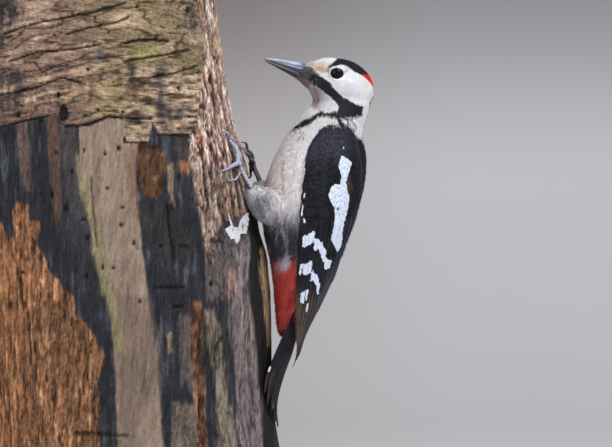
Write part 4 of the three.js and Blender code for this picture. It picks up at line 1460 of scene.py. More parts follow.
TRUNK_AXIS_Y = 8.0
TRUNK_ENDS = (38.0, 306.0)
# Spans of the trunk's grid (from, to, how many): of heights, and of angles, closest on the seen side.
TRUNK_ROWS = ((38.02, 48, 5), (48, 214, 132), (214, 290, 112), (290, 305.98, 8))
TRUNK_TURNS = ((-192, 12, 300), (12, 168, 62))
# Rings that close its ends, as shares of the way out from the middle.
END_RINGS = (0.93, 0.8, 0.64, 0.48, 0.32, 0.16, 0.04)
# How far the relief may go in and out, in mm.
DEEPEST, HIGHEST = -2.4, 1.4
# The near edge of the trunk in the side view: height, x.
TRUNK_EDGE = [
    (38, 62.4), (54, 59.9), (70, 57.3), (90, 56.8), (118, 56.6), (136, 55.8), (150, 53.6), (160, 49.8),
    (181, 46.4), (198, 44), (206, 42.6), (216, 38.6), (246, 32), (306, 24.2),
]
# Kinds of wood, as outlines in the side view.
TOP_OUTLINE = [
    (-122.4, 213.9), (-90, 221), (-74.3, 225.3), (-63.5, 227.5), (-58.6, 228.5), (-56.5, 224.2),
    (-52.7, 221.5), (-41.9, 222.1), (-37, 224.2), (-31.1, 226.9),
    (-23.5, 225.8), (-22.4, 212.9), (-10, 212.9), (-7.8, 224.8), (-3.5, 217.2), (12.7, 217.2),
    (16.5, 221.5), (18.1, 241), (21.4, 256.1), (19.7, 268),
    (16.5, 292.3), (15.4, 322.1), (-122.4, 322.1),
]
FIBRE_OUTLINE = [
    (15.4, 322.1), (16.5, 292.3), (19.7, 268), (21.4, 256.1), (18.1, 241), (17, 222.1), (12.2, 213.9),
    (13.2, 197.7), (15.9, 181.5), (18.6, 169.6),
    (21.4, 148), (25.1, 148), (25.7, 162.6), (30, 169.6), (39.7, 173.9), (72.2, 178.3), (72.2, 322.1),
]
ROT_OUTLINE = [
    (-122.4, 186.9), (-90, 170.7), (-86.9, 165.3), (-85.4, 158.3), (-83, 162.1), (-83.8, 174.5),
    (-81.5, 179.9), (-76.1, 181.5), (-74.5, 179.1),
    (-74.5, 170.7), (-67.5, 169.8), (-67.5, 165.3), (-70.6, 158.9), (-69.1, 154.3), (-64.4, 148.8),
    (-64.4, 142.6), (-58.2, 138.8),
    (-55.9, 132.5), (-51.2, 130.2), (-49.6, 119.4), (-44.6, 115.6), (-40.3, 109.6), (-34.3, 97.7),
    (-36.5, 88.5), (-37, 78.8), (-35.1, 72.3),
    (-35.9, 60.4), (-34.3, 30.2), (-122.4, 30.2),
]
POCKET_OUTLINE = [
    (-14.9, 212.3), (-8.9, 210.7), (-3.5, 210.7), (-0.3, 205.8), (0.3, 197.7), (-1.9, 192.3), (-1.9, 186.9),
    (-5.7, 182.1), (-10, 183.1),
    (-13.8, 189.1), (-14.9, 197.7), (-15.9, 205.8),
]
CHANNEL_OUTLINE = [
    (12.7, 127.5), (19.2, 126.4), (19.7, 111.2), (20.8, 100.4), (20.8, 73.4), (21.9, 51.8), (22.4, 30.2),
    (16.5, 30.2), (15.9, 57.2),
    (14.9, 84.2), (12.7, 103.1),
]
COLUMN_OUTLINE = [
    (-47.3, 229.1), (-15.9, 229.1), (-15.9, 208.5), (-17.6, 186.9), (-15.9, 169.6), (-12.2, 149.6),
    (-9.5, 129.6), (-6.8, 105.8), (-5.7, 95),
    (-4.6, 76.1), (-2.4, 57.2), (0.8, 30.2), (-25.7, 30.2), (-27.3, 69.6), (-27.8, 89.6), (-29.5, 109.6),
    (-32.2, 129.6), (-38.1, 149.1),
    (-40.3, 169.6), (-44.6, 186.9), (-46.8, 208.5),
]
# Streaks and bands of stained, bleached and weathered wood below the ledge: colour, blur, share, outline.
BANDS = [
    ((108, 88, 82), 1.2, 0.8, [(-81.9, 226.9), (-74.9, 226.9), (-74.3, 208.5), (-73.2, 188), (-75.9, 184.8),
    (-79.7, 200.4)]),
    ((92, 71, 62), 0.9, 0.95, [(-65.1, 229.1), (-58.1, 229.1), (-57.6, 203.1), (-55.9, 181.5),
    (-56.5, 167.5), (-60.3, 167.5), (-63, 192.3)]),
    ((70, 66, 66), 1.0, 0.8, [(-57, 222.6), (-48.9, 222.6), (-47.8, 192.3), (-44.6, 176.1), (-51.1, 167.5),
    (-55.4, 197.7)]),
    ((46, 46, 48), 2.0, 0.8, [(-57.6, 169.6), (-43, 169.6), (-38.6, 148), (-32.7, 127.5), (-35.9, 122.1),
    (-42.4, 132.9), (-52.2, 148)]),
    ((136, 118, 104), 0.5, 1.0, COLUMN_OUTLINE),
    ((112, 95, 83), 3.0, 0.9, [(-29.5, 132.9), (-8.9, 127.5), (-5.7, 103.1), (-4.6, 85.3), (-23, 30.2),
    (-28.4, 111.2)]),
    ((122, 92, 74), 1.4, 0.7, [(-22.4, 212.9), (-15.4, 212.9), (-16.5, 186.9), (-14.9, 169.6),
    (-20.3, 175)]),
    ((134, 124, 90), 0.9, 0.8,
     [(-48.4, 208.5), (-45.7, 200.4), (-42.4, 184.2), (-35.9, 169.6), (-31.6, 149.1), (-28.9, 127.5),
     (-24.6, 111.2), (-23.5, 99.4), (-28.4, 100.4),
      (-31.1, 116.6), (-33.8, 129.6), (-38.6, 148), (-41.9, 169.6), (-45.7, 184.2)]),
    ((44, 40, 40), 2.0, 0.8, [(-14.3, 183.7), (-7.8, 179.4), (11.6, 169.6), (11.6, 148), (-2.4, 148),
    (-11.1, 157.2), (-14.9, 171.8)]),
    ((140, 118, 98), 0.6, 0.9, [(0.3, 201.5), (3.5, 201.5), (5.1, 178.3), (1.4, 177.2)]),
    ((168, 108, 72), 0.8, 0.8, [(6.8, 201.5), (12.2, 202.1), (12.7, 197.2), (7.3, 196.6)]),
    ((138, 126, 98), 0.4, 0.9, [(0.5, 109.6), (3.2, 109.6), (3.7, 99.4), (1.9, 96.6), (0.6, 99.4)]),
    ((106, 94, 90), 2.2, 0.8, [(6.2, 118.8), (19.2, 117.7), (20.3, 88.5), (17.6, 73.4), (7.3, 84.2)]),
    ((120, 106, 94), 1.6, 0.8, [(3, 71.2), (15.4, 71.2), (17, 48), (18.1, 30.2), (1.9, 30.2)]),
    ((98, 88, 86), 1.2, 0.9, [(19.7, 169.6), (25.7, 162.1), (39.7, 173.9), (45.1, 159.9), (43, 127.5),
    (21.4, 127.5), (20.3, 148)]),
    ((138, 124, 110), 1.2, 0.95,
     [(20.8, 121), (25.7, 123.1), (30, 105.8), (34.3, 84.2), (38.1, 48), (38.6, 30.2), (29.5, 30.2),
     (27.3, 73.4), (22.4, 99.4)]),
    ((52, 53, 60), 0.8, 0.9, [(31.1, 103.1), (34.9, 100.4), (35.9, 72.9), (33.2, 69.1)]),
    ((134, 120, 121), 1.2, 0.95,
     [(37.6, 159.9), (45.1, 162.1), (45.7, 127.5), (48.9, 105.8), (51.1, 73.4), (52.2, 30.2), (39.2, 30.2),
     (37.6, 84.2), (34.3, 116.6)]),
    ((146, 126, 122), 1.2, 0.6, [(41.4, 122.1), (46.2, 122.1), (48.9, 105.8), (50, 88.5), (45.1, 88.5),
    (42.4, 105.8)]),
    ((166, 130, 124), 1.0, 0.85, [(31.6, 143.7), (37.6, 143.7), (38.1, 130.7), (34.3, 129.1)]),
    ((27, 24, 26), 0.9, 1.0,
     [(43.5, 167.5), (49.5, 169.6), (52.2, 159.9), (53.8, 132.9), (55.9, 105.8), (57.6, 84.2), (58.1, 30.2),
     (52.7, 30.2), (51.1, 73.4),
      (48.4, 103.1), (44.6, 127.5)]),
    ((172, 144, 106), 0.6, 0.9, [(49.2, 154.5), (51.1, 158.3), (58.1, 154.5), (60.8, 127.5), (63.5, 104.8),
    (54.3, 102.6), (52.4, 127.5)]),
]
# Stains over the upper wood, and painted shade along its left edge where the trunk turns away (the five at
# the far left): where, how wide and high in mm, colour.
STAINS_AND_EDGE_SHADE = [
    ((-87.8, 237.7), (9, 13), (66, 56, 54)), ((-86.8, 282.1), (8, 8), (74, 62, 58)),
    ((-87.8, 283.1), (6, 8), (50, 52, 60)), ((-89.5, 266.9), (3, 6), (60, 56, 60)),
    ((-83.5, 247.5), (8, 4), (64, 62, 68)),
    ((-3, 239.9), (2.6, 15), (58, 60, 72)), ((0.3, 225.8), (3.2, 8), (58, 60, 72)),
    ((12.7, 278.8), (3, 9), (66, 66, 78)),
    ((-35.4, 261.5), (1.8, 5), (96, 98, 100)), ((-42.4, 241), (4, 7), (120, 76, 72)),
    ((-18.6, 239.9), (4, 4), (110, 66, 62)),
    ((-18.1, 255), (2.2, 6.5), (52, 42, 32)), ((-11.1, 260.4), (9, 5), (142, 134, 86)),
    ((8.4, 229.1), (4, 4), (76, 80, 88)),
]
# Insect holes: where, and how wide and high.
HOLES = [
    ((-60.8, 270.9), 0.8, 0.8), ((-42.3, 252.1), 1.0, 1.0), ((-55.8, 228.4), 2.4, 4.3),
    ((-58.6, 238.3), 0.8, 1.8),
    ((-43.7, 227.3), 1.0, 0.9), ((-37, 230.2), 0.8, 0.8), ((-80.6, 227.3), 0.9, 1.1),
    ((-68.2, 224), 0.7, 0.6),
    ((-59.9, 206.9), 0.8, 0.8), ((-44.5, 208.3), 0.8, 0.8), ((-25.7, 209.4), 1.1, 1.3),
    ((-22.4, 213.8), 0.9, 1.7),
    ((-32.9, 206.6), 0.8, 1.0), ((-13.9, 223.5), 0.8, 0.9), ((-23.2, 229.2), 0.8, 0.8),
    ((-27.7, 225.9), 0.9, 0.8),
    ((-38.4, 279.9), 0.7, 0.7), ((-31, 272.3), 0.7, 0.7), ((-15.2, 286.1), 0.8, 1.0),
    ((-4.6, 269.2), 0.9, 2.0),
    ((12, 284.1), 1.3, 2.1), ((7, 241.6), 0.8, 1.3), ((26.3, 258.2), 0.8, 0.8), ((23.8, 246.6), 0.7, 2.0),
    ((-51.1, 196.6), 0.9, 0.9), ((-54.7, 176.8), 1.1, 1.0), ((-61.9, 184.2), 0.8, 1.8),
    ((-45.3, 171), 0.9, 1.0),
    ((-42.9, 161.1), 1.0, 0.9), ((-43.4, 140.4), 1.1, 0.9), ((-32.1, 187.6), 0.8, 0.7),
    ((-23.8, 177.4), 0.9, 0.9),
    ((-24.4, 168), 1.1, 0.9), ((-17.5, 158.3), 1.1, 1.1), ((-15.2, 155.9), 0.6, 0.6),
    ((-34.5, 145.4), 0.9, 0.9),
    ((-28.8, 144.8), 1.0, 1.0), ((-14.2, 126.9), 0.9, 0.9), ((-77.9, 142.6), 0.7, 0.7),
    ((3.5, 178.2), 0.9, 1.8),
    ((-2.9, 156.7), 1.0, 1.0), ((7, 193.6), 0.9, 2.2), ((24.4, 136.3), 0.9, 1.6),
]
# Open cracks and crevices: half their width, how deep, and the line they follow.
CRACKS = [
    (0.8, 1, [(-6.5, 133.7), (1.9, 134.4), (9.5, 134.2)]), (0.6, 1, [(4.1, 123.9), (8.4, 124.2)]),
    (0.5, 1, [(7.8, 156.6), (11.9, 157.2)]), (0.3, 0.7, [(-40.8, 193.4), (-39.7, 176.1), (-37.6, 156.6)]),
    (0.5, 1, [(0.8, 178.8), (1.9, 165.3), (4.6, 148)]), (0.5, 1, [(19.7, 208.5), (21.4, 183.7)]),
    (0.4, 0.8, [(24.6, 159.4), (29.5, 158.8)]), (0.5, 1, [(29.5, 106.9), (27, 101.5), (26.2, 93.9)]),
    (0.6, 0.8, [(-48.9, 55.6), (-37.6, 55), (-21.9, 53.9)]),
    (0.4, 0.8, [(44.1, 100.4), (45.1, 84.2), (47.8, 68)]),
    (0.5, 0.9, [(-87.8, 271.2), (-79.2, 274.5), (-66.8, 278), (-56.5, 279.6), (-40.3, 282.6),
    (-21.9, 288)]),
    (0.5, 0.9, [(-53.8, 271.2), (-40.3, 275), (-27.8, 277.2), (-20.3, 280.4)]),
    (0.45, 0.9, [(-85.4, 256.3), (-69.1, 261.7), (-51.2, 262.9), (-35.9, 265.6)]),
    (0.6, 1, [(-21.9, 266.4), (-14.3, 268), (-6.2, 268), (1.4, 267.5)]),
    (0.5, 0.9, [(-90, 238.4), (-70.5, 242.3), (-56.6, 247.7), (-46.8, 245.3)]),
    (0.4, 0.8, [(-77, 255.6), (-71.6, 256.1), (-67.3, 250.7), (-60.8, 253.4), (-53.8, 254.5)]),
    (0.5, 0.9, [(-21.9, 256.6), (-11.1, 258.3), (-0.8, 259.9), (12.7, 262.6)]),
    (0.5, 0.9, [(-95.4, 219.4), (-90, 221), (-74.3, 225), (-63.5, 227.2)]),
    (0.5, 1, [(-54.3, 221.5), (-41.9, 222.1), (-31.1, 226.6), (-8.4, 225)]),
    (0.4, 0.8, [(-35.9, 258.3), (-26.2, 258.8), (-21.9, 256.6)]),
    (0.4, 0.9, [(-6.2, 248), (5.1, 250.2), (17, 253.9)]),
    (0.4, 0.8, [(-53.2, 280.4), (-45.7, 282.1), (-38.1, 283.1)]),
    (0.5, 0.9, [(-22.4, 212.6), (-10, 212.3)]), (0.5, 0.9, [(-4.6, 216.6), (12.7, 216.6)]),
]

DEAD_TAN = tone(158, 130, 108)
DEAD_OLIVE = tone(154, 134, 102)
DEAD_PINK = tone(136, 110, 96)
# Pale wood on the ridge tops, lightened with painted light.
PALE_RIDGE_LIGHT = tone(204, 178, 152)
# Painted shade in the creases of the upper wood.
CREVICE_SHADE = tone(62, 42, 36)
STAIN = tone(37, 39, 46)
STAIN_LIGHT = tone(74, 76, 84)
FIBRE_LIGHT = tone(246, 222, 208)
FIBRE = tone(190, 156, 140)
FIBRE_DARK = tone(72, 46, 38)
ROTTEN = tone(150, 105, 74)
ROTTEN_RED = tone(178, 122, 82)
ROTTEN_DARK = tone(80, 50, 34)
NEAR_BLACK = tone(22, 19, 21)


def pits(across, height, ragged):
    """How deep points lie in an insect hole or a crack, from 0 to 1."""
    deep = np.zeros(across.shape)
    for (x, z), wide, high in HOLES:
        gone = (1 - np.hypot((across - x) / wide, (height - z) / high)) * min(wide, high)
        deep = np.maximum(deep, ramp(-0.3, 0.2, gone))
    for half, share, line in CRACKS:
        gone = half * (1 + 0.9 * ragged) - line_depth(across, height, line)
        deep = np.maximum(deep, share * ramp(-0.45, 0.1, gone))
    return deep


def trunk_relief(points):
    """How far the wood stands out or in at points, its colour, how coarse its grain is and how level."""
    across, height = side_view(points)
    behind = points[:, 1] > TRUNK_AXIS_Y
    away = behind * ramp(0, 30, SHARED["trunk_edge"](height)[:, 0] - across)
    slow = cloud(points, (9, 9, 34), 102)
    wander = cloud(points, (2, 2, 14), 103, 2)
    moved = across + 1.2 * slow + 1.3 * wander + away * 16 * cloud(points, 40, 101, 2)
    level = height + 1.1 * cloud(points, (3, 3, 3), 104) + away * 8 * cloud(points, 30, 105, 2)
    strands = cloud(points, (1.9, 1.9, 15), 121)
    gaps = cloud(points, (3.4, 3.4, 24), 126)
    threads = cloud(points, (1.5, 1.5, 26), 127)
    fine = cloud(points, (1.1, 1.1, 3.5), 122, 2)
    blotch = cloud(points, 14, 123)
    crumbs = cloud(points, (2.2, 2.2, 4.2), 124)
    lean = np.where(points[:, 0] < -30, 0.2, 0.04) * (points[:, 0] + 30)
    sheet = np.stack([points[:, 0], points[:, 1], points[:, 2] - lean], axis=1)
    waves = cloud(sheet, (22, 22, 4.4), 111)
    ripples = cloud(sheet, (7, 7, 1.5), 112, 2)

    top = patch_of(TOP_OUTLINE, across + 0.8 * wander, level, 0.4)
    lower = 1 - top
    fibre = patch_of(FIBRE_OUTLINE, across + 0.7 * slow + 0.8 * wander, level, 0.8) * lower
    rot = patch_of(ROT_OUTLINE, moved, level, 0.5) * lower
    pocket = patch_of(POCKET_OUTLINE, across + 0.5 * wander, level, 0.5) * (1 - away)
    channel = ramp(-0.5, 0.5, depth_inside(CHANNEL_OUTLINE, across + wander,
        level + 3 * threads) + threads) * lower
    stacked = ramp(-26, -20, across) * ramp(257, 249, level) * top
    crease = ramp(0.1, 0.0, np.abs(waves)) * ramp(-0.5, 0.1, slow + 0.6)
    plain = 1 - np.maximum.reduce([top, rot, pocket, fibre, channel])
    grooves = np.abs(gaps)
    relief = (
        top * (0.9 * waves - 0.6 * crease + 0.2 * fine) + stacked * (1.1 * ripples - 0.2)
        + (rot + channel) * (0.7 * crumbs + 0.8 * threads + 0.4 * fine - 0.3)
        + pocket * (1.3 * crumbs + 0.8 * strands - 1.4) + plain * (0.3 * strands + 0.12 * crumbs)
        + fibre * (0.3 * strands + 0.9 * threads + 0.3 * fine - 1.2 * ramp(0.14, 0.0, grooves))
    )
    # Painted shade and light: the colour is darkened where the relief sinks and lightened where it stands
    # out.
    shadow = np.clip(1 + 0.55 * relief, 0.35, 1.4)
    deep = pits(across + 0.2 * fine, height + 0.35 * fine, slow) * (points[:, 1] < TRUNK_AXIS_Y)
    relief = relief - 1.5 * deep + 2.2 * bell(height, 164, 15) * ramp(20, 44, points[:, 0])

    def band(shade, blur, share, outline):
        part = ramp(-blur, blur, depth_inside(outline, moved, level + 3.5 * threads) + 0.8 * threads)
        return tone(*shade) * (1 + 0.3 * threads[:, None]), share * part

    # Stains, and painted shade at the trunk's left edge, broken up by the grain.
    def stain_and_shade(place, radii, shade):
        part = spot_at(moved, level, place, radii, 0.6) * ramp(-0.7, 0.1, strands + 0.6 * crumbs)
        return tone(*shade), 0.85 * part

    seams = ramp(13, 20, across + 2 * slow) * ramp(205, 195, level) * ramp(0.12, 0.0, grooves)
    stained = layered(
        STAIN, (STAIN_LIGHT, ramp(0.0, 0.7, 0.6 * strands + 0.7 * threads + 0.5 * blotch)),
        (tone(84, 74, 66), 0.6 * ramp(0.25, 0.7, slow)),
        *(band(*row) for row in BANDS), (NEAR_BLACK * 1.4, 0.75 * seams),
    )
    upper = layered(
        DEAD_PINK, (DEAD_TAN, ramp(-0.3, 0.5, cloud(points, 9, 125))),
        (DEAD_OLIVE, ramp(-56, -30, across + 12 * blotch) * (0.6 + 0.4 * ramp(-0.4, 0.3, slow))),
        # Painted light on the raised waves, painted shade in their creases and between the stacked ridges.
        (PALE_RIDGE_LIGHT, 0.55 * ramp(0.15, 0.6, waves + 0.4 * ripples)), (CREVICE_SHADE, 0.75 * crease),
        (mixed(PALE_RIDGE_LIGHT, CREVICE_SHADE, ramp(0.15, -0.45, ripples)), 0.65 * stacked),
        *(stain_and_shade(*row) for row in STAINS_AND_EDGE_SHADE),
    )
    # Fibres: darker between the raised threads and lighter on them, partly the wood's own tones and partly
    # painted shade and light; painted shade in the grooves.
    strand = layered(
        FIBRE, (FIBRE_LIGHT, ramp(-0.1, 0.4, 0.25 * strands + threads + 0.25 * fine)),
        (tone(190, 126, 86), 0.6 * ramp(0.0, 0.5, cloud(points, (2.5, 2.5, 30), 128))),
        (FIBRE_DARK, 0.85 * ramp(-0.15, -0.5, 0.3 * strands + threads + 0.3 * fine)),
        (tone(150, 128, 92), 0.5 * ramp(0.0, 0.5, blotch)),
        (FIBRE_DARK * 0.7, 0.85 * ramp(0.1, 0.0, grooves)),
    )
    web = spot_at(across, height, (16.5, 261.5), (4, 4.4), 0.6) * ramp(0.0, 0.3, crumbs + 0.4 * fine)
    slot = spot_at(across, height, (26.8, 234.5), (2.0, 7.5), 0.4) * ramp(-0.5, 0.1, fine)
    strand = layered(
        strand * (1 - 0.4 * ramp(214, 188, level + 6 * slow))[:, None],
        (tone(226, 220, 212), 0.8 * web), (tone(104, 58, 44), 0.8 * slot),
    )
    # Rot: darker in the gaps between crumbs and lighter on them, partly painted shade and light.
    rotten = layered(
        ROTTEN, (ROTTEN_RED, ramp(-66, -84, across + 8 * slow)),
        (ROTTEN_DARK, 0.85 * ramp(-0.05, -0.55, 0.6 * crumbs + 0.6 * threads + 0.4 * fine)),
        (tone(214, 162, 116), 0.55 * ramp(0.2, 0.6, threads + 0.5 * crumbs + 0.3 * fine)),
        (ROTTEN_DARK, 0.6 * spot_at(across, height, (-57.6, 103.1), (12, 20), 0.9) * ramp(-0.3, 0.3, fine)),
        (ROTTEN_DARK * 0.6, channel * (0.45 + 0.5 * ramp(0.3, -0.3, crumbs + 0.5 * threads + 0.3 * fine))),
    )
    colour = layered(
        stained, (upper, top), (strand, fibre), (rotten, np.maximum(rot, 0.95 * channel)),
        # Painted shade in the pocket, darker towards its top under the ledge.
        (mixed(rotten, FIBRE_DARK, 0.8 * ramp(203, 212, level)), pocket),
    )
    # Painted shade: holes and cracks turn near black.
    colour = mixed(colour * shadow[:, None], NEAR_BLACK * 0.6, 0.95 * deep)
    colour = colour * (1 + 0.14 * fine + 0.1 * blotch)[:, None]
    coarse = 1.1 + 0.5 * fibre + 0.5 * rot - 0.5 * patch_of(COLUMN_OUTLINE, moved, level, 1) * lower
    return relief, np.clip(colour, 0, 1), coarse, top


def make_trunk(sizes):
    """The dead trunk: the log's own shape in fine relief, with ledges, fibres, rot, holes and cracks."""
    SHARED["trunk_edge"] = curve_through(TRUNK_EDGE)
    tree = tree_of_solids("perch_log")
    near, far = (np.linspace(*span) for span in TRUNK_TURNS)
    turn = np.radians(np.concatenate([near, far[1:-1]]))
    heights = np.unique(np.concatenate([np.linspace(*span) for span in TRUNK_ROWS]))
    edge = SHARED["trunk_edge"](heights)[:, 0]
    axis = edge - 80.0 - 0.03 * (heights - 38)
    radius = np.empty((len(heights), len(turn)))
    for row, height in enumerate(heights):
        start = Vector((axis[row], TRUNK_AXIS_Y, height))
        for column, angle in enumerate(turn):
            hit = tree.ray_cast(start, Vector((math.cos(angle), math.sin(angle), 0)))
            radius[row, column] = (hit[0] - start).length
    for _ in range(2):
        radius = (np.roll(radius, 1, 1) + radius * 2 + np.roll(radius, -1, 1)) / 4
        radius[1:-1] = (radius[:-2] + radius[1:-1] * 2 + radius[2:]) / 4
    shape = np.stack([
        axis[:, None] + radius * np.cos(turn)[None], TRUNK_AXIS_Y + radius * np.sin(turn)[None],
        heights[:, None] + 0 * radius,
    ], axis=-1)
    relief, colour, coarse, level = trunk_relief(shape.reshape(-1, 3))
    relief = relief.reshape(radius.shape) * sizes.relief
    gripped = bell(heights[:, None], 204, 15) * (shape[..., 0] > 18) * ramp(42, 30, np.abs(shape[..., 1]))
    relief = np.where(gripped > 0.3, np.clip(relief, -0.5, 0.1) - 0.1, relief)
    rim = np.minimum(heights - TRUNK_ENDS[0], TRUNK_ENDS[1] - heights)[:, None]
    relief = np.clip(relief, DEEPEST, HIGHEST) * ramp(0, 2, rim) - 0.6 * ramp(1.6, 0, rim)
    out = np.stack([np.cos(turn), np.sin(turn), 0 * turn], axis=-1)[None]
    shape = shape + out * relief[..., None]
    rows, columns = radius.shape
    index = np.arange(radius.size).reshape(radius.shape)
    places, colours, faces = [shape.reshape(-1, 3)], [colour], [grid_faces(index, closed=True)]
    total = rows * columns
    for end, loop in ((0, index[0]), (1, index[-1])):
        height = TRUNK_ENDS[end]
        middle = np.array([axis[-end], TRUNK_AXIS_Y, height])
        for share in END_RINGS:
            ring = middle + (shape[-end] - middle) * share
            ring[:, 2] = height + (1 - 2 * end) * (0.25 + 0.2 * cloud(ring, (1.2, 30, 10), 131))
            fresh = total + np.arange(columns)
            quads = grid_faces(np.stack([loop, fresh]), closed=True)
            faces.append(quads if end else quads[:, ::-1])
            gone = np.hypot(ring[:, 0] - middle[0], ring[:, 1] - middle[1])
            rings = 0.5 + 0.5 * np.sin(gone * 2.2 + 3 * cloud(ring, 20, 132))
            stained = 0.6 * ramp(0.1, 0.7, cloud(ring, 24, 133))
            colours.append(mixed(mixed(DEAD_TAN, FIBRE, rings), STAIN, stained))
            places.append(ring)
            loop = fresh
            total += columns
        places.append((middle + (0, 0, (1 - 2 * end) * 0.3))[None])
        colours.append((DEAD_TAN * 0.7)[None])
        fan = np.stack([loop[::2], loop[1::2], np.roll(loop, -2)[::2], 0 * loop[::2] + total], axis=-1)
        faces.append(fan if end else fan[:, ::-1])
        total += 1
    trunk = piece_from("old_trunk", np.concatenate(places), np.concatenate(faces))
    ends = np.zeros(total - len(coarse))
    keep_for(trunk, coat=np.concatenate(colours), coarse=np.concatenate([coarse, ends + 0.7]),
             level=np.concatenate([level, ends]))
    return settle(trunk, shared(trunk_material), "dead_wood", "perch_log")


# A pale flake of bark that still hangs on the trunk, and a splinter over it.
FLAKES = [
    [(31.6, 165.8), (34.3, 167.5), (38.6, 166.6), (39.7, 170.2), (41.4, 172.9), (44.3, 175.6),
    (44.3, 167.7), (43.5, 163.1), (40.3, 163.1),
     (39.5, 159.4), (38.1, 157.5), (36.5, 160.4), (34.9, 159.9), (33.2, 162.6)],
    [(33, 174.5), (34.1, 174.2), (36.3, 166.9), (36.2, 164.8), (35.2, 165.3)],
]


def make_flake(trunk):
    """Thin pale flakes that follow the trunk's face, a little off it, with lifted corners."""
    tree = tree_of(trunk)
    eye = Vector((WATCHED_POINT[0], -WATCHED_FROM, WATCHED_POINT[1]))
    corners, faces, noises, start = [], [], [], 0
    for outline in FLAKES:
        low, high = np.min(outline, axis=0) - 0.5, np.max(outline, axis=0) + 0.5
        across, height = np.meshgrid(np.arange(low[0], high[0], 0.35), np.arange(low[1], high[1], 0.35))
        sheet = np.stack([across, 0 * across, height], axis=-1)
        deep = depth_inside(outline, across + 0.35 * cloud(sheet, 1.1, 141),
            height + 0.35 * cloud(sheet, 1.1, 142))
        places = sheet.copy()
        for row, column in np.ndindex(deep.shape):
            target = Vector(sheet[row, column])
            places[row, column] = tree.ray_cast(eye, (target - eye).normalized())[0] or target
        smooth = places[..., 1]
        for _ in range(8):
            smooth = sum(np.roll(smooth, way, axis) for axis in (0, 1) for way in (1, -1)) / 4
        lifted = 0.5 + 0.5 * ramp(0, 3, 3 - deep) + 0.4 * cloud(sheet, 2.5, 143)
        places[..., 1] = np.minimum(places[..., 1], smooth) - lifted
        grid = grid_faces(start + np.arange(deep.size).reshape(deep.shape))
        faces.append(grid[np.all(deep.ravel()[grid - start] > 0, axis=1)])
        corners.append(places.reshape(-1, 3))
        noises.append(cloud(sheet, (1.0, 1, 2.4), 144).ravel())
        start += deep.size
    flake = piece_from("bark_flake", np.concatenate(corners), np.concatenate(faces))
    noise = np.concatenate(noises)
    colour = mixed(tone(206, 206, 216), tone(128, 124, 128), ramp(0.1, 0.7, noise))
    keep_for(flake, coat=colour, coarse=0 * noise + 0.3, level=0 * noise)
    edited(flake, bpy.ops.mesh.delete_loose)
    finish_modifier(flake, "SOLIDIFY", thickness=0.3 * MM, offset=-1)
    return settle(flake, shared(trunk_material), "dead_wood")


def softened(piece, title, material, slot, node, **edges):
    """Finishes a part of the stand with rounded edges."""
    finish_modifier(piece, "BEVEL", limit_method="ANGLE", **edges)
    pick(piece)
    bpy.ops.object.shade_smooth_by_angle(angle=math.radians(35))
    piece.name = title
    settle(piece, material, slot, node)


def make_base():
    """The stand's base: a board with a stepped and rounded rim."""
    low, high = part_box("stand_base")
    size, middle = high - low, (high + low) / 2
    let_go()
    bpy.ops.mesh.primitive_cube_add(size=1, location=middle)
    board = bpy.context.object
    board.scale = size
    bpy.ops.object.transform_apply()
    bpy.ops.object.mode_set(mode="EDIT")
    shell = bmesh.from_edit_mesh(board.data)
    for face in shell.faces:
        face.select = face.normal.z > 0.9
    bmesh.update_edit_mesh(board.data)
    for thickness, depth in ((0.005, 0), (0.0012, -0.0012), (0.0012, 0.0012)):
        bpy.ops.mesh.inset(thickness=thickness, depth=depth)
    bpy.ops.object.mode_set(mode="OBJECT")
    softened(board, "stand_board", stand_wood_material(), "stand_base", "stand_base",
             width=0.0022, segments=4, angle_limit=math.radians(60))


def make_rods():
    """Two turned rods with collars at both ends."""
    steel = rod_material()
    for node in ("stand_rod_near_bird", "stand_rod_far_side"):
        low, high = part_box(node)
        middle = (low + high) / 2
        radius = (high.x - low.x) / 2
        tall = high.z - low.z
        parts = []
        for height, long, wide in ((middle.z, tall, 0.93), (low.z + 0.0015, 0.003, 1),
                (high.z - 0.0015, 0.003, 1)):
            let_go()
            bpy.ops.mesh.primitive_cylinder_add(vertices=64, radius=radius * wide, depth=long,
                                                location=(middle.x, middle.y, height))
            parts.append(bpy.context.object)
        rod = joined(parts)
        bpy.ops.object.transform_apply()
        softened(rod, node + "_turned", steel, "stand_rods", node, width=0.0004, segments=3)


# ---------------------------------------------------------------- coats

# Barbs in each tuft of body plumage, and how rough each kind is.
BARBS = 5
ROUGHNESS = {"plumage_pale": 0.85, "plumage_dark": 0.8, "plumage_belly": 0.9}


def settle_plumage(piece, slot):
    """Finishes a piece of plumage."""
    settle(piece, shared(plumage_material, slot, ROUGHNESS[slot]), slot)


def coat_style(points, on_thigh, sizes):
    """Length, depth, barb width, spread and lift of the tufts at points, in mm."""
    height = points[:, 2]
    depth = coat_depth(points, sizes)
    length = np.interp(height, [108, 150, 180, 205, 222, 234, 262], [8.5, 8.5, 7.0, 5.6, 4.2, 2.9, 2.5])
    face = np.linalg.norm(points - HEAD_ROOT, axis=1)
    length = length * (0.55 + 0.45 * ramp(3, 12, face))
    length = np.where(on_thigh, 4.6, length)
    width = np.interp(length, [1.4, 3, 5, 8.5], [0.26, 0.32, 0.42, 0.5])
    lift = 0.1 + 0.35 * on_thigh + 0.12 * ramp(176, 150, height)
    ragged = 0.35 + 0.55 * ramp(236, 222, height)
    return {"length": length, "depth": depth, "width": width, "spread": 0.5 + 0.14 * length, "lift": lift,
            "ragged": ragged}


def eye_clear(points, length):
    """Shortens tufts whose tips would hang over an eye."""
    for side in (-1, 1):
        eye = eye_centre(side)
        near = np.hypot((points[:, 0] - eye[0]) / 1.1, (points[:, 2] - eye[2] + 0.33) / 0.9)
        here = (points[:, 1] * side > 5) & (near < 12)
        length = np.where(here & (points[:, 0] < eye[0]), np.minimum(length, np.maximum(near - 3.8, 0.2)),
            length)
        length = np.where(here & (near < 3.8), 0.0, length)
    return length


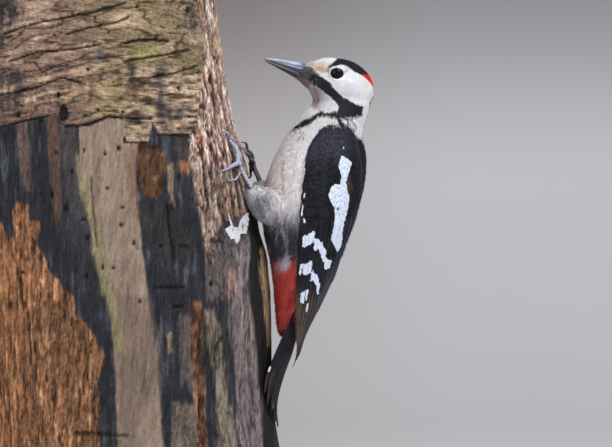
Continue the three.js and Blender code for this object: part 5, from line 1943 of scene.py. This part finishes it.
def make_coat(title, chosen, spacing, vary, seed, sizes):
    """One piece of body plumage from the roots that a test chooses."""
    places, facing, owner = SHARED["roots"]
    chance = np.random.default_rng(seed)
    keep = chosen & (chance.random(len(places)) < (0.95 / spacing) ** 2)
    places, facing, owner = places[keep], facing[keep], owner[keep]
    on_thigh = stands_for(owner, "thigh_left", "thigh_right")
    style = coat_style(places, on_thigh, sizes)
    style["length"] = eye_clear(places, style["length"])
    grown = style["length"] > 0.4
    places, facing, on_thigh = places[grown], facing[grown], on_thigh[grown].astype(float)
    style = {name: values[grown] for name, values in style.items()}
    style["length"] = style["length"] * chance.uniform(0.85, 1.15, len(places))
    style["barbs"] = BARBS
    style["vary"] = vary
    way = lie_of_coat(places, facing, on_thigh)
    thigh_of_barb = np.repeat(on_thigh, BARBS)

    def marks(points):
        return body_marks(points, thigh_of_barb)

    return grow_tufts(title, places, facing, way, style, seed, marks)


def grow_bristles(seed):
    """Fine bristles that lean forward over the root of the bill, buff above, dark beside it, grey below in
    the chin's painted shade.
    """
    places = SHARED["roots"][0]
    gone = (places - HEAD_ROOT) @ HEAD_BACK
    near = (gone > -1.5) & (gone < 5.0) & (np.linalg.norm(places - HEAD_ROOT, axis=1) < 8.5)
    chance = np.random.default_rng(seed)
    roots = np.repeat(places[near], 5, axis=0)
    roots = roots + chance.normal(0, 0.35, roots.shape)
    tree = tree_of_solids("bill_upper", "bill_lower", "head")
    roots, facing, _, _ = nearest_on(tree, roots)
    up = (roots - HEAD_ROOT) @ HEAD_UP
    way = -HEAD_BACK + 0.25 * chance.normal(0, 1, roots.shape)
    way = unit(along_face(way, facing))
    length = 3.4 - 0.9 * ramp(1.2, 2.6, up) + 0.5 * ramp(-1.6, -3.0, up)
    style = {"length": length * chance.uniform(0.7, 1.2, len(roots)), "depth": 0.3, "width": 0.17,
        "spread": 0.5,
             "lift": 0.15, "ragged": 0, "barbs": 3, "vary": 0.14, "tree": tree}

    def marks(points):
        across, height = side_view(points)
        dark = ramp(-0.3, 0.5, cloud(points, 0.8, 14, 2))[:, None]
        above = height - np.interp(across, [70, 73.8, 80, 85], [254.6, 254.0, 252.6, 249.4])
        under = height - np.interp(across, [70, 76, 80], [249.2, 246.4, 243.6])
        colour = layered(
            BRISTLE * (1.25 - 0.8 * dark), (tone(206, 196, 190) * (1 - 0.3 * dark), ramp(-0.5, 0.9, above)),
            # The grey below the bill's root is the chin's painted shade.
            (tone(138, 122, 116) * (1.1 - 0.45 * dark), ramp(0.5, -0.5, under)),
        )
        return colour, 0 * above

    settle_plumage(grow_tufts("bill_bristles", roots, facing, way, style, seed, marks), "plumage_pale")


# ---------------------------------------------------------------- settings

class WoodpeckerCoat(bpy.types.PropertyGroup):
    """Sizes of the plumage."""

    head_depth: bpy.props.FloatProperty(
        name="Head coat depth", description="How thick the plumage lies over the head's skin",
        default=0.0011, min=0.0003, max=0.003, unit="LENGTH")
    body_depth: bpy.props.FloatProperty(
        name="Body coat depth", description="How thick the plumage lies over the body's skin",
        default=0.0019, min=0.0005, max=0.004, unit="LENGTH")
    seed: bpy.props.IntProperty(
        name="Seed", description="Fixes the small chances in the lie of the tufts", default=7, min=0)
    white: bpy.props.FloatVectorProperty(
        name="White vane spots", description="Colour of the white spots on wing and tail",
        subtype="COLOR", size=4, default=paint(213, 222, 240), min=0, max=1)


class WoodpeckerTrunk(bpy.types.PropertyGroup):
    """Sizes of the trunk's surface."""

    relief: bpy.props.FloatProperty(
        name="Relief", description="How strongly ledges, fibres and rot stand out", default=1.0, min=0,
        max=2)


class WoodpeckerStage(bpy.types.PropertyGroup):
    """The studio round the model."""

    distance: bpy.props.FloatProperty(
        name="Camera distance", description="From the camera to the bird's middle", default=1.838,
        unit="LENGTH")
    lens: bpy.props.FloatProperty(
        name="Lens", description="The camera's focal length in millimetres", default=200.0)
    key_power: bpy.props.FloatProperty(
        name="Key light", description="Power of the large soft light in watts", default=33.0)
    fill_power: bpy.props.FloatProperty(
        name="Fill light", description="Power of the low fill light in watts", default=10.0)
    backdrop: bpy.props.FloatVectorProperty(
        name="Backdrop", description="Colour of the floor and backdrop", subtype="COLOR", size=4,
        default=paint(216, 216, 217), min=0, max=1)


# ---------------------------------------------------------------- operators

class WOODPECKER_OT_stage(bpy.types.Operator):
    """Sets up the pale sweep, the soft lights and the camera."""

    bl_idname = "woodpecker.stage"
    bl_label = "Studio"

    def execute(self, context):
        stage = context.scene.woodpecker_stage
        make_sweep(stage)
        make_lights(stage)
        camera = bpy.data.cameras.new("camera")
        camera.lens = stage.lens
        camera.sensor_width = 36
        camera.clip_end = 30
        place = bpy.data.objects.new("camera", camera)
        place.location = (WATCHED_POINT[0] * MM, -stage.distance, WATCHED_POINT[1] * MM)
        place.rotation_euler = (math.radians(90), 0, 0)
        context.scene.collection.objects.link(place)
        context.scene.camera = place
        return {"FINISHED"}


class WOODPECKER_OT_trunk(bpy.types.Operator):
    """Makes the dead trunk that the bird clings to."""

    bl_idname = "woodpecker.trunk"
    bl_label = "Trunk"

    def execute(self, context):
        trunk = make_trunk(context.scene.woodpecker_trunk)
        make_flake(trunk)
        return {"FINISHED"}


class WOODPECKER_OT_stand(bpy.types.Operator):
    """Makes the stand's base board and rods."""

    bl_idname = "woodpecker.stand"
    bl_label = "Stand"

    def execute(self, context):
        make_base()
        make_rods()
        return {"FINISHED"}


class WOODPECKER_OT_skin(bpy.types.Operator):
    """Makes the one skin under the plumage, with feet and lids."""

    bl_idname = "woodpecker.skin"
    bl_label = "Skin"

    def execute(self, context):
        SHARED["wing"] = curve_through(WING)
        skin = skin_piece(context.scene.woodpecker_coat)
        lay_map(skin, map_spots(corners_of(skin)[0]))
        settle(skin, skin_material(), "foot_scales", *FLESH)
        return {"FINISHED"}


class WOODPECKER_OT_eyes(bpy.types.Operator):
    """Makes both eyes."""

    bl_idname = "woodpecker.eyes"
    bl_label = "Eyes"

    def execute(self, context):
        for side in (-1, 1):
            make_eye(side)
        return {"FINISHED"}


class WOODPECKER_OT_horn(bpy.types.Operator):
    """Makes the bill and the claws."""

    bl_idname = "woodpecker.horn"
    bl_label = "Bill and claws"

    def execute(self, context):
        make_bill()
        make_claws()
        return {"FINISHED"}


class WOODPECKER_OT_body_coat(bpy.types.Operator):
    """Grows the plumage of head, neck, body and thighs in pieces."""

    bl_idname = "woodpecker.body_coat"
    bl_label = "Body plumage"

    def execute(self, context):
        sizes = context.scene.woodpecker_coat
        seed = sizes.seed
        SHARED["roots"] = coat_roots(seed)
        places, _, owner = SHARED["roots"]
        x, _, height = places.T
        wings = stands_for(owner, "wing_left", "wing_right", "tail") & ~over_shoulder(places)
        thigh = stands_for(owner, "thigh_left", "thigh_right")
        left = ~wings & ~thigh
        skull = height + 0.35 * (x - 92) > 231
        back = x > 84 - 0.1 * (206 - height)
        # Where each piece grows, the spacing of its tufts in mm, how far their shades vary, and its slot.
        for step, (name, here, spacing, vary, slot) in enumerate((
            ("face", skull & (x < 93), 0.95, 0.03, "plumage_pale"),
            ("crown", skull, 0.95, 0.03, "plumage_pale"),
            ("neck", height > 206, 1.12, 0.04, "plumage_pale"),
            ("breast", ~back & (height > 172), 1.05, 0.05, "plumage_pale"),
            ("belly", ~back & (height > 148), 1.05, 0.08, "plumage_belly"),
            ("vent", ~back, 1.05, 0.08, "plumage_belly"),
            ("back", back, 1.3, 0.1, "plumage_dark"),
            ("thigh", thigh, 0.95, 0.08, "plumage_belly"),
        ), start=1):
            chosen = here if name == "thigh" else here & left
            left = left & ~here
            settle_plumage(make_coat(name + "_plumage", chosen, spacing, vary, seed + step, sizes), slot)
        grow_bristles(seed + 9)
        return {"FINISHED"}


class WOODPECKER_OT_wings(bpy.types.Operator):
    """Makes the coverts and flight feathers of both wings."""

    bl_idname = "woodpecker.wings"
    bl_label = "Wings"

    def execute(self, context):
        sizes = context.scene.woodpecker_coat
        vanes = vane_material("wing_vanes", tuple(sizes.white))
        for side in (-1, 1):
            settle(wing_coverts(side, sizes.seed + 20 + side), vanes, "plumage_dark")
            settle(flight_feathers(side), vanes, "plumage_dark")
        return {"FINISHED"}


class WOODPECKER_OT_tail(bpy.types.Operator):
    """Makes the stiff tail feathers."""

    bl_idname = "woodpecker.tail"
    bl_label = "Tail"

    def execute(self, context):
        sizes = context.scene.woodpecker_coat
        settle(tail_feathers(), vane_material("tail_vanes", tuple(sizes.white)), "plumage_dark")
        return {"FINISHED"}


# The backdrop, in metres: how wide it is, where the floor ends and how far it bends up from there.
SWEEP_WIDTH = 9.0
FLOOR_START = -4.0
FLOOR_END = 1.0
SWEEP_BEND = 1.2


def make_sweep(stage):
    """A pale floor that curves up into the backdrop, with painted shade that dims it higher up and darkens
    and warms it towards the left.
    """
    let_go()
    bpy.ops.mesh.primitive_grid_add(x_subdivisions=2, y_subdivisions=60, size=1)
    sweep = bpy.context.object
    sweep.name = "studio_sweep"
    places, _ = corners_of(sweep)
    share = places[:, 1] / 1000 + 0.5
    run = share * SWEEP_WIDTH + FLOOR_START
    past = np.maximum(run - FLOOR_END, 0)
    turn = np.minimum(past / SWEEP_BEND, math.pi / 2)
    y = np.minimum(run, FLOOR_END) + SWEEP_BEND * np.sin(turn)
    z = SWEEP_BEND * (1 - np.cos(turn)) + np.maximum(past - SWEEP_BEND * math.pi / 2, 0)
    place_corners(sweep, np.stack([places[:, 0] / 1000 * SWEEP_WIDTH, y, z], axis=1) * 1000)
    bpy.ops.object.shade_smooth()
    material, tree, shader = new_material("pale_sweep", Roughness=0.9, Specular_IOR_Level=0.1)
    split = add_node(tree, "ShaderNodeSeparateXYZ", {0: object_place(tree)}).outputs
    # Painted shade: the backdrop dims higher up, and towards the left it takes a darker, warmer tint.
    left = stepped(tree, split["X"], 0.24, -0.06)
    painted_dim_above = stepped(tree, split["Z"], 0.2, 0.46)
    shade = scaled(tree, mottle(tree, 1.5, 0.2, 0.8), 0.04, 0.96)
    shade = scaled(tree, shade, scaled(tree, painted_dim_above, -0.5, 1.0))
    painted_shade_left = scaled(tree, left, scaled(tree, painted_dim_above, 0.55, 0.45))
    colour = times(tree, tuple(stage.backdrop)[:3], shade)
    feed(tree, shader, {"Base Color": blend(tree, painted_shade_left, colour, (0.8, 0.67, 0.65, 1), "MULTIPLY")})
    clear = add_node(tree, "ShaderNodeBsdfTransparent")
    behind = add_node(tree, "ShaderNodeNewGeometry").outputs["Backfacing"]
    both = add_node(tree, "ShaderNodeMixShader", {0: behind, 1: shader.outputs[0], 2: clear.outputs[0]})
    feed(tree, tree.get_output_node("ALL"), {0: both.outputs[0]})
    sweep.data.materials.clear()
    sweep.data.materials.append(material)


def make_lights(stage):
    """A big soft key from the upper right, a fill from the left, and an even pale surround."""
    aim = Vector((0.06, 0.0, 0.17))
    for name, place, size, power, colour in (
        ("key_light", (0.9, -1.3, 1.5), 1.3, stage.key_power, (1.0, 0.99, 0.97)),
        ("fill_light", (-1.2, -1.2, 0.5), 1.2, stage.fill_power, (0.93, 0.96, 1.0)),
    ):
        light = bpy.data.lights.new(name, "AREA")
        light.shape = "SQUARE"
        light.size = size
        light.energy = power
        light.color = colour
        lamp = bpy.data.objects.new(name, light)
        lamp.location = place
        lamp.rotation_euler = (aim - Vector(place)).to_track_quat("-Z", "Y").to_euler()
        bpy.context.scene.collection.objects.link(lamp)
    world = bpy.data.worlds.new("soft_surround")
    world.use_nodes = True
    feed(world.node_tree, world.node_tree.nodes["Background"], {0: (0.85, 0.88, 0.93, 1), 1: 0.64})
    bpy.context.scene.world = world
    bpy.context.scene.view_settings.view_transform = "Standard"


class WOODPECKER_PT_panel(bpy.types.Panel):
    """Lists the woodpecker's settings and pieces."""

    bl_idname = "WOODPECKER_PT_panel"
    bl_label = "Woodpecker"
    bl_space_type = "VIEW_3D"
    bl_region_type = "UI"
    bl_category = "Woodpecker"

    def draw(self, context):
        for group, kind in SETTINGS.items():
            box = self.layout.box()
            for name in kind.__annotations__:
                box.prop(getattr(context.scene, group), name)
        for kind in STEPS:
            self.layout.operator(kind.bl_idname)


STEPS = (
    WOODPECKER_OT_stage,
    WOODPECKER_OT_trunk,
    WOODPECKER_OT_stand,
    WOODPECKER_OT_skin,
    WOODPECKER_OT_eyes,
    WOODPECKER_OT_horn,
    WOODPECKER_OT_body_coat,
    WOODPECKER_OT_wings,
    WOODPECKER_OT_tail,
)
SETTINGS = {
    "woodpecker_coat": WoodpeckerCoat,
    "woodpecker_trunk": WoodpeckerTrunk,
    "woodpecker_stage": WoodpeckerStage,
}


def register():
    """Makes the settings, operators and panel known to Blender."""
    for name, kind in SETTINGS.items():
        bpy.utils.register_class(kind)
        setattr(bpy.types.Scene, name, bpy.props.PointerProperty(type=kind))
    for kind in STEPS + (WOODPECKER_PT_panel,):
        bpy.utils.register_class(kind)


def unregister():
    """Takes them away again."""
    for kind in STEPS + (WOODPECKER_PT_panel,):
        bpy.utils.unregister_class(kind)
    for name, kind in SETTINGS.items():
        delattr(bpy.types.Scene, name)
        bpy.utils.unregister_class(kind)


def main():
    """Builds everything in order."""
    register()
    for kind in STEPS:
        area, name = kind.bl_idname.split(".")
        getattr(getattr(bpy.ops, area), name)()


if __name__ == "__main__":
    main()
